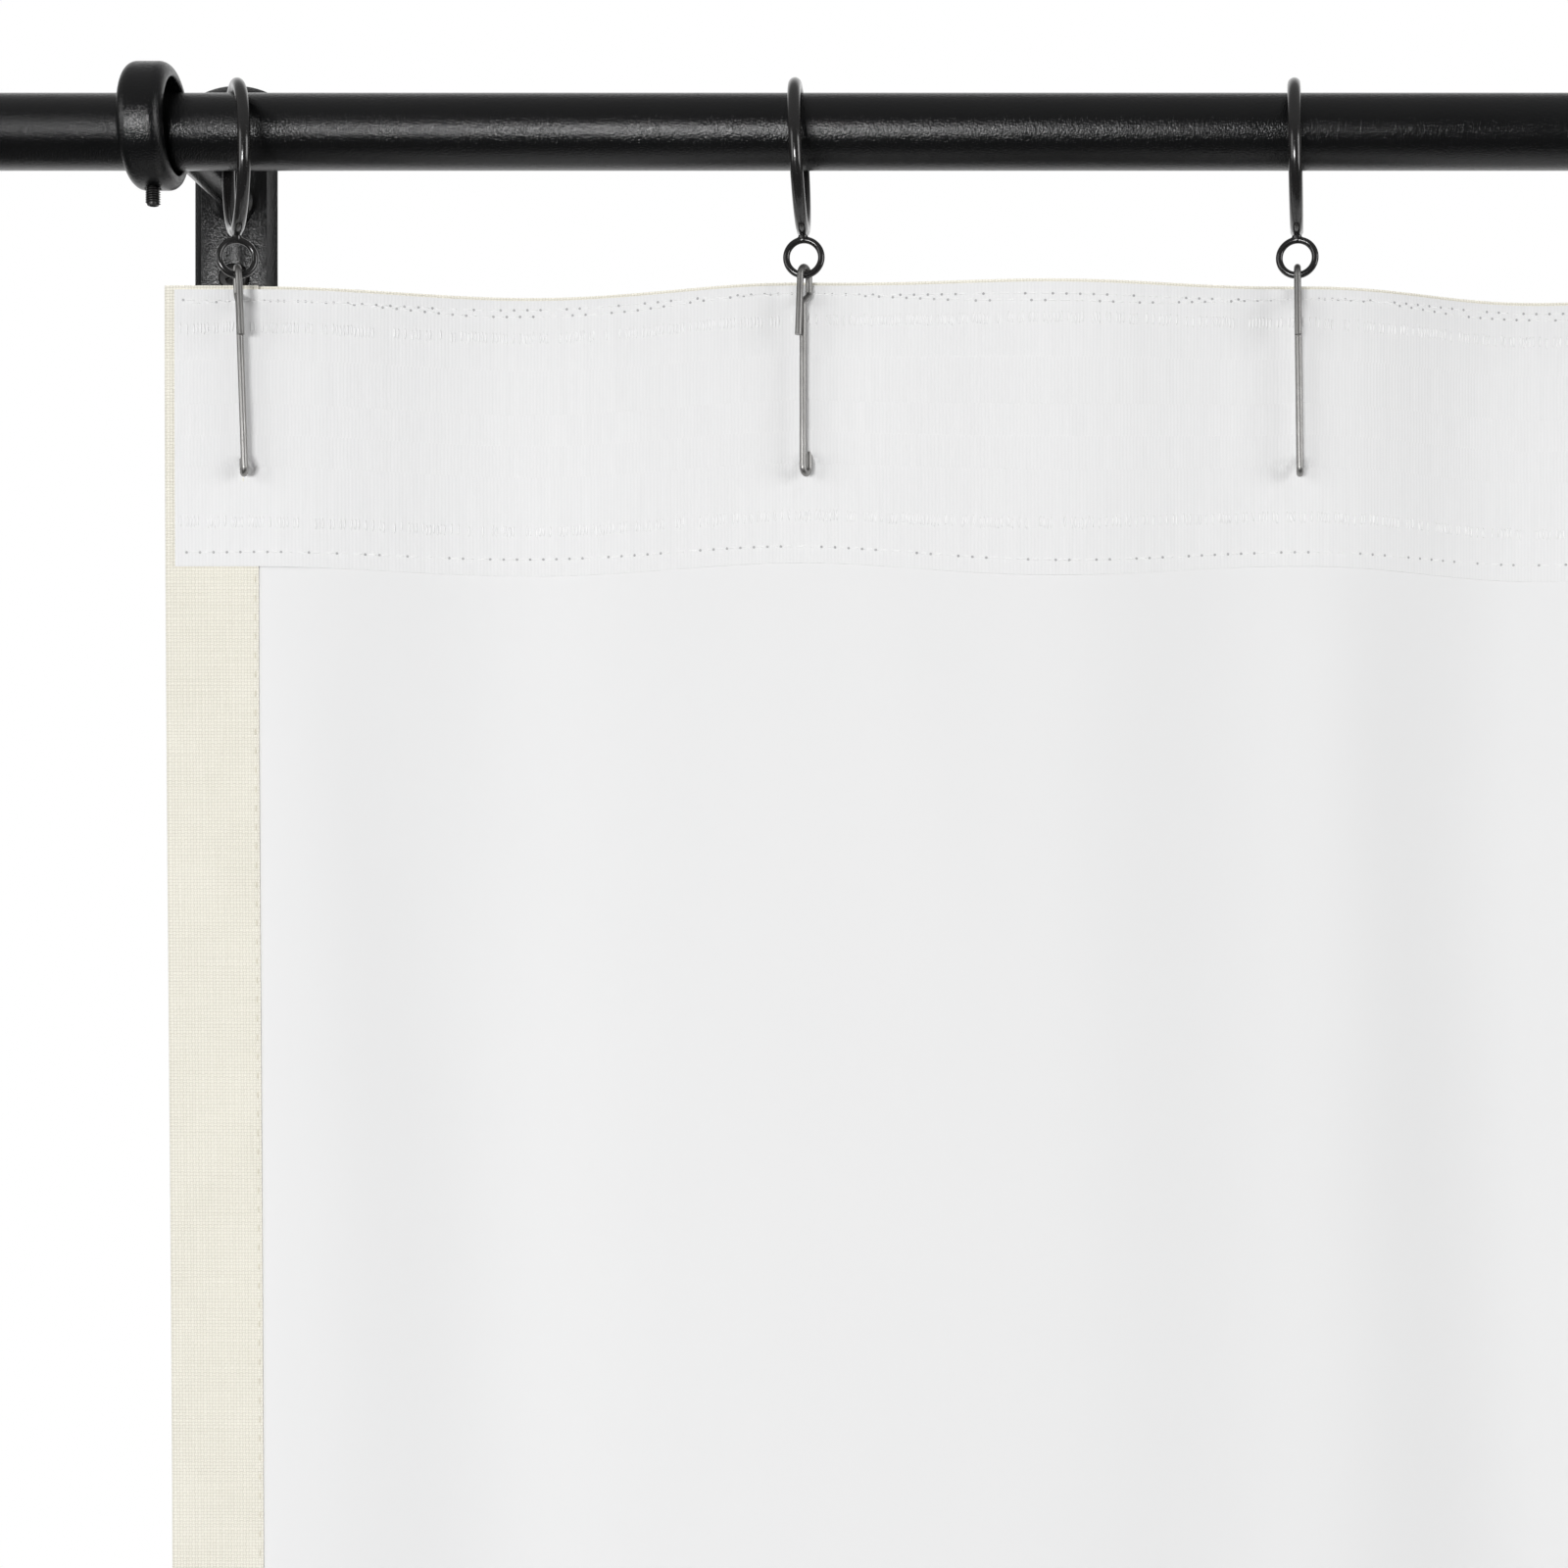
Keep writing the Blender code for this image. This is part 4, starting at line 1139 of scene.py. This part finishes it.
# %% [markdown]
# The face cloth is one piece with its side hems: it runs from the left hem's inner edge out to
# the panel's edge, turns back on itself, crosses the panel behind the lining, and turns again.
# Laying the grid along that route makes a real folded hem. The grid has more lines where the
# cloth turns than where it lies wide.

# %% Face cloth with side hems
HEM_WIDTH = 0.0318
CLOTH_THICKNESS = 0.0006
fold_radius = (LAYERS["face"] - LAYERS["hem"]) / 2
fold_length = math.pi * fold_radius
fold_middle = (LAYERS["face"] + LAYERS["hem"]) / 2
cloth_left = panel_low.x + fold_radius - 0.0006
cloth_right = panel_high.x - fold_radius - 0.0003
hem_run = HEM_WIDTH - fold_radius
back_run = cloth_right - cloth_left
face_width = 2 * (hem_run + fold_length) + back_run


legs = np.cumsum([0, hem_run, fold_length, back_run, fold_length, hem_run])
leg_lines = (8, 8, 300, 8, 8)
leg_stops = [np.linspace(a, b, n + 1)[:-1] for a, b, n in zip(legs, legs[1:], leg_lines)]
across_stops = np.append(np.concatenate(leg_stops), legs[-1])
even_stops = np.linspace(0, face_width, len(across_stops))


def lay_face(across, down):
    """Lays the cloth: left hem, left fold, back, right fold, right hem."""
    s = np.interp(across, even_stops, across_stops)
    left_turn = np.clip((s - legs[1]) / fold_radius, 0, math.pi)
    right_turn = np.clip((s - legs[3]) / fold_radius, 0, math.pi)
    on_leg = [s < legs[1], s < legs[2], s < legs[3], s < legs[4]]
    x = np.select(on_leg, [cloth_left + hem_run - s,
                           cloth_left - fold_radius * np.sin(left_turn),
                           cloth_left + s - legs[2],
                           cloth_right + fold_radius * np.sin(right_turn)],
                  cloth_right - (s - legs[4]))
    depth = np.select(on_leg, [np.full_like(s, LAYERS["hem"]),
                               fold_middle - fold_radius * np.cos(left_turn),
                               np.full_like(s, LAYERS["face"]),
                               fold_middle + fold_radius * np.cos(right_turn)],
                      LAYERS["hem"])
    return on_cloth(x, down, depth)


face_sheet = cloth_grid(len(across_stops) - 1, 108, (face_width, panel_drop), lay_face)
flat_places = face_sheet.data.attributes["flat_place"].data
places = np.zeros(len(flat_places) * 3)
flat_places.foreach_get("vector", places)
places = places.reshape(-1, 3)
places[:, 0] = np.interp(places[:, 0], even_stops, across_stops)
flat_places.foreach_set("vector", places.ravel())
thicken(face_sheet, CLOTH_THICKNESS)
face_piece = hang(face_sheet, "cream_face_cloth", ["face_fabric"], cream_weave)

# %% [markdown]
# The bottom hem is a strip of the same cloth, turned up between the two side hems. Every layer
# from here on is such a strip between two edges and two drops, so one function makes them all.

# %% Bottom hem
HEM_GAP = 0.0003
BOTTOM_HEM = 0.080
strip_left = panel_low.x + HEM_WIDTH + HEM_GAP
strip_right = panel_high.x - HEM_WIDTH - HEM_GAP


def strip(left, right, top, bottom, depth, columns, rows, thickness):
    """A layer between two edges and two drops; its depth is a number or a function of both."""
    width = right - left

    def lay(across, down):
        x, drop = left + across, top + down
        return on_cloth(x, drop, depth(x, drop) if callable(depth) else np.full_like(x, depth))

    sheet = cloth_grid(columns, rows, (width, bottom - top), lay)
    thicken(sheet, thickness)
    return sheet


hem_sheet = strip(strip_left, strip_right, panel_drop - BOTTOM_HEM, panel_drop, LAYERS["hem"],
                  300, 6, CLOTH_THICKNESS)
hem_piece = hang(hem_sheet, "turned_up_hem", ["bottom_hem"], cream_weave)

# %% [markdown]
# The lining's edges are tucked under the hems. Away from them it comes forward and rests against
# the tape's back, so the tape throws no shadow line on it.

# %% Lining
LINING_INSET = 0.0012
LINING_TOP = 0.003
LINING_FOOT = 0.002
LINING_THICKNESS = 0.0004
LINING_FORWARD = 0.0008


def lining_depth(x, drop):
    inside = ease((x - strip_left) / 0.03) * ease((strip_right - x) / 0.03)
    above = 1 - ease((drop - panel_drop + 0.30) / 0.2)
    return LAYERS["lining"] - LINING_FORWARD * inside * above


lining_sheet = strip(panel_low.x + LINING_INSET, panel_high.x - LINING_INSET, LINING_TOP,
                     panel_drop - LINING_FOOT, lining_depth, 320, 130, LINING_THICKNESS)
lining_piece = hang(lining_sheet, "lining_cloth", ["lining"], lining_sateen)

# %% [markdown]
# The heading tape is sewn flat on the lining along the top. It could be painted on the lining,
# but its edge and its puckers show, so it is a layer of its own. It needs a finer grid, because
# the cloth puckers round the foot of every hook.

# %% Heading tape
TAPE_INSET = 0.0029
TAPE_TOP = 0.0015
TAPE_HEIGHT = 0.0942
TAPE_THICKNESS = 0.0004
tape_left = panel_low.x + TAPE_INSET
tape_right = panel_high.x - TAPE_INSET
tape_sheet = strip(tape_left, tape_right, TAPE_TOP, TAPE_TOP + TAPE_HEIGHT, LAYERS["tape"],
                   560, 42, TAPE_THICKNESS)
tape_piece = hang(tape_sheet, "heading_tape_band", ["heading_tape"], tape_weave)

# %% [markdown]
# Two rows of pockets are woven into the tape. They lie almost flush on it, with a small pinch
# between one pocket and the next.

# %% Pocket rows
POCKET_PITCH = 0.0086
ROW_INSET = 0.0008
ROW_THICKNESS = 0.0003


def lay_row(top, height):
    """Lays a row so that its edges curl back a little and each pocket ends in a pinch."""
    def lay(across, down):
        x = tape_left + ROW_INSET + across
        rest = LAYERS["row"] + 0.00012 * np.abs(2 * down / height - 1) ** 3
        pinch = 0.00018 * (1 - np.abs(np.sin(math.pi * x / POCKET_PITCH)) ** 0.3)
        return on_cloth(x, top + down, rest + pinch)
    return lay


for level in ("upper", "lower"):
    name, node = f"{level}_pocket_band", f"{level}_pocket_row"
    low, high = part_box(node)
    row_width = tape_right - tape_left - 2 * ROW_INSET
    height = high.z - low.z
    row = cloth_grid(1100, 8, (row_width, height), lay_row(panel_high.z - high.z, height))
    thicken(row, ROW_THICKNESS)
    hang(row, name, [node], tape_weave)

# %% [markdown]
# Small things make cloth believable: the stitches that hold the tape, the painted shadows of the
# needle holes between them, and the short bright floats woven in two lines along it. Each is
# modelled once as a low shape of a few faces, then sown along its line on the cloth.


# %% Seeds and sowing
def seed_shape(size, segments=6, rings=4):
    """A low ball of few faces, stretched to a size."""
    bpy.ops.object.select_all(action="DESELECT")
    bpy.ops.mesh.primitive_uv_sphere_add(segments=segments, ring_count=rings, radius=0.5)
    seed = bpy.context.object
    seed.scale = size
    settle(seed)
    return seed


def sow(name, seed, spots, finish):
    """Copies a small seed shape to every (place, turn about Y, turn about Z) and makes one piece."""
    corners = np.array([v.co for v in seed.data.vertices])
    faces = [list(f.vertices) for f in seed.data.polygons]
    all_corners = []
    all_faces = []
    for place, tilt, swing in spots:
        turn = np.array(Matrix.Rotation(swing, 3, "Z") @ Matrix.Rotation(tilt, 3, "Y"))
        offset = len(all_corners) * len(corners)
        all_corners.append(corners @ turn.T + place)
        all_faces += [[i + offset for i in face] for face in faces]
    mesh = bpy.data.meshes.new(name)
    mesh.from_pydata(np.concatenate(all_corners).tolist(), [], all_faces)
    bpy.data.objects.remove(seed, do_unlink=True)
    sown = bpy.data.objects.new(name, mesh)
    bpy.context.scene.collection.objects.link(sown)
    print(name, len(spots), "seeds")
    return hang(sown, name, [], finish, smooth=80)


def line_spots(xs, drops, depth, tilt=0.0):
    """Spots on the cloth, turned to follow its slope along the rod."""
    xs = np.asarray(xs, float)
    drops = np.asarray(drops, float)
    here = on_cloth(xs, drops, np.full_like(xs, depth))
    there = on_cloth(xs + 0.001, drops, np.full_like(xs, depth))
    slope = np.arctan2(there[:, 1] - here[:, 1], there[:, 0] - here[:, 0])
    tilts = np.full_like(xs, tilt)
    return list(zip(here, tilts, slope))


# %% [markdown]
# Two rows of stitches hold the tape's top; they wander and meet now and then. A third follows the
# foot. Each needle hole is a grey spot of painted shadow; a hole shows between two stitches only
# where the cloth is pulled, so some are left out.

# %% Tape stitching
STITCH_PITCH = 0.0046
TOP_ROW_DROP = 0.0048
ROWS_APART = 0.0022
FOOT_ROW_RISE = 0.0052
WANDER = 0.0006
HOLES_SHOWN = 0.72
tape_surface = LAYERS["tape"] - TAPE_THICKNESS / 2
stitch_xs = np.arange(tape_left + 0.003, tape_right - 0.002, STITCH_PITCH)
top_row = TOP_ROW_DROP + WANDER * np.sin(stitch_xs * 23 + 0.4)
apart = ROWS_APART * np.clip(np.sin((stitch_xs - 0.045) * math.pi / 0.172) ** 2 * 1.3, 0, 1)
foot_row = TAPE_TOP + TAPE_HEIGHT - FOOT_ROW_RISE + WANDER * np.sin(stitch_xs * 17 + 2.0)
random.seed(5)
thread_spots = []
hole_shadow_spots = []
for drops, offset_share in ((top_row, 0.0), (top_row + apart, 0.45), (foot_row, 0.2)):
    xs = stitch_xs + STITCH_PITCH * offset_share
    thread_spots += line_spots(xs + STITCH_PITCH / 2, drops, tape_surface - 0.00008)
    shown = np.array([random.random() < HOLES_SHOWN for x in stitch_xs])
    hole_shadow_spots += line_spots(xs[shown], drops[shown], tape_surface - 0.00002)
stitches = sow("tape_stitching", seed_shape((0.0034, 0.00034, 0.00042)), thread_spots,
               white_thread)
# The grey spots are painted shadows in the needle holes, not holes in the cloth.
holes = sow("tape_needle_hole_shadows", seed_shape((0.0011, 0.00016, 0.0009)), hole_shadow_spots,
            hole_shadow)

# %% [markdown]
# The floats are short upright threads woven on top of the tape, a little uneven in height and
# place. One is left out here and there, and the rest keep to the tape's ribs, so they bunch.

# %% Floats
FLOAT_DROPS = (0.0138, 0.0798)
FLOATS_SHOWN = 0.86
FLOAT_MARGIN = 0.002
random.seed(11)
float_spots = []
for centre_drop in FLOAT_DROPS:
    x = tape_left + FLOAT_MARGIN
    while x < tape_right - FLOAT_MARGIN:
        if random.random() < FLOATS_SHOWN:
            wander = 0.0009 * math.sin(x * 11 + centre_drop * 90) + random.uniform(-0.0004, 0.0004)
            float_spots += line_spots([x], [centre_drop + wander], tape_surface - 0.00006,
                                      random.uniform(-0.05, 0.05))
        x += RIB_PITCH * random.choice((1, 1, 1, 2))
floats = sow("tape_floats", seed_shape((0.0006, 0.0006, 0.0036), 5, 4), float_spots,
             white_thread)

# %% [markdown]
# The side hem is blind stitched close to its inner edge, and the bottom hem along its top. The
# same seeds serve, turned upright for the side hems.

# %% Hem stitching
HEM_STITCH_PITCH = 0.0065
FROM_SIDE_EDGE = 0.0017
BOTTOM_STITCH_RISE = 0.0785
hem_spots = []
hem_drops = np.arange(0.10, panel_drop - 0.085, HEM_STITCH_PITCH)
hem_stitch_depth = LAYERS["hem"] - 0.0003 - 0.00006
for column in (panel_low.x + HEM_WIDTH - FROM_SIDE_EDGE, panel_high.x - HEM_WIDTH + FROM_SIDE_EDGE):
    hem_spots += line_spots(np.full_like(hem_drops, column), hem_drops, hem_stitch_depth, math.pi / 2)
bottom_xs = np.arange(strip_left + 0.004, strip_right - 0.004, HEM_STITCH_PITCH)
bottom_drops = np.full_like(bottom_xs, panel_drop - BOTTOM_STITCH_RISE)
hem_spots += line_spots(bottom_xs, bottom_drops, hem_stitch_depth)
hem_stitches = sow("hem_stitching", seed_shape((0.0026, 0.00036, 0.00045)), hem_spots,
                   cream_thread)

# %% [markdown]
# A line of points is laid from edge to edge of the panel along the cloth's waves, 0.3 m below
# the top.

# %% A line along the waves
probe = np.linspace(panel_low.x, panel_high.x, 2000)
line = on_cloth(probe, np.full_like(probe, 0.3), np.zeros_like(probe))

# %% [markdown]
# The floor only catches the shadow, so plain pale paint is enough for it.

# %% Floor finish
floor_finish, shader, place = new_finish("pale_floor_paint", Roughness=0.7)
shader.inputs["Base Color"].default_value = (0.58, 0.58, 0.58, 1)
floor.data.materials.append(floor_finish)
print(floor.name, "painted")
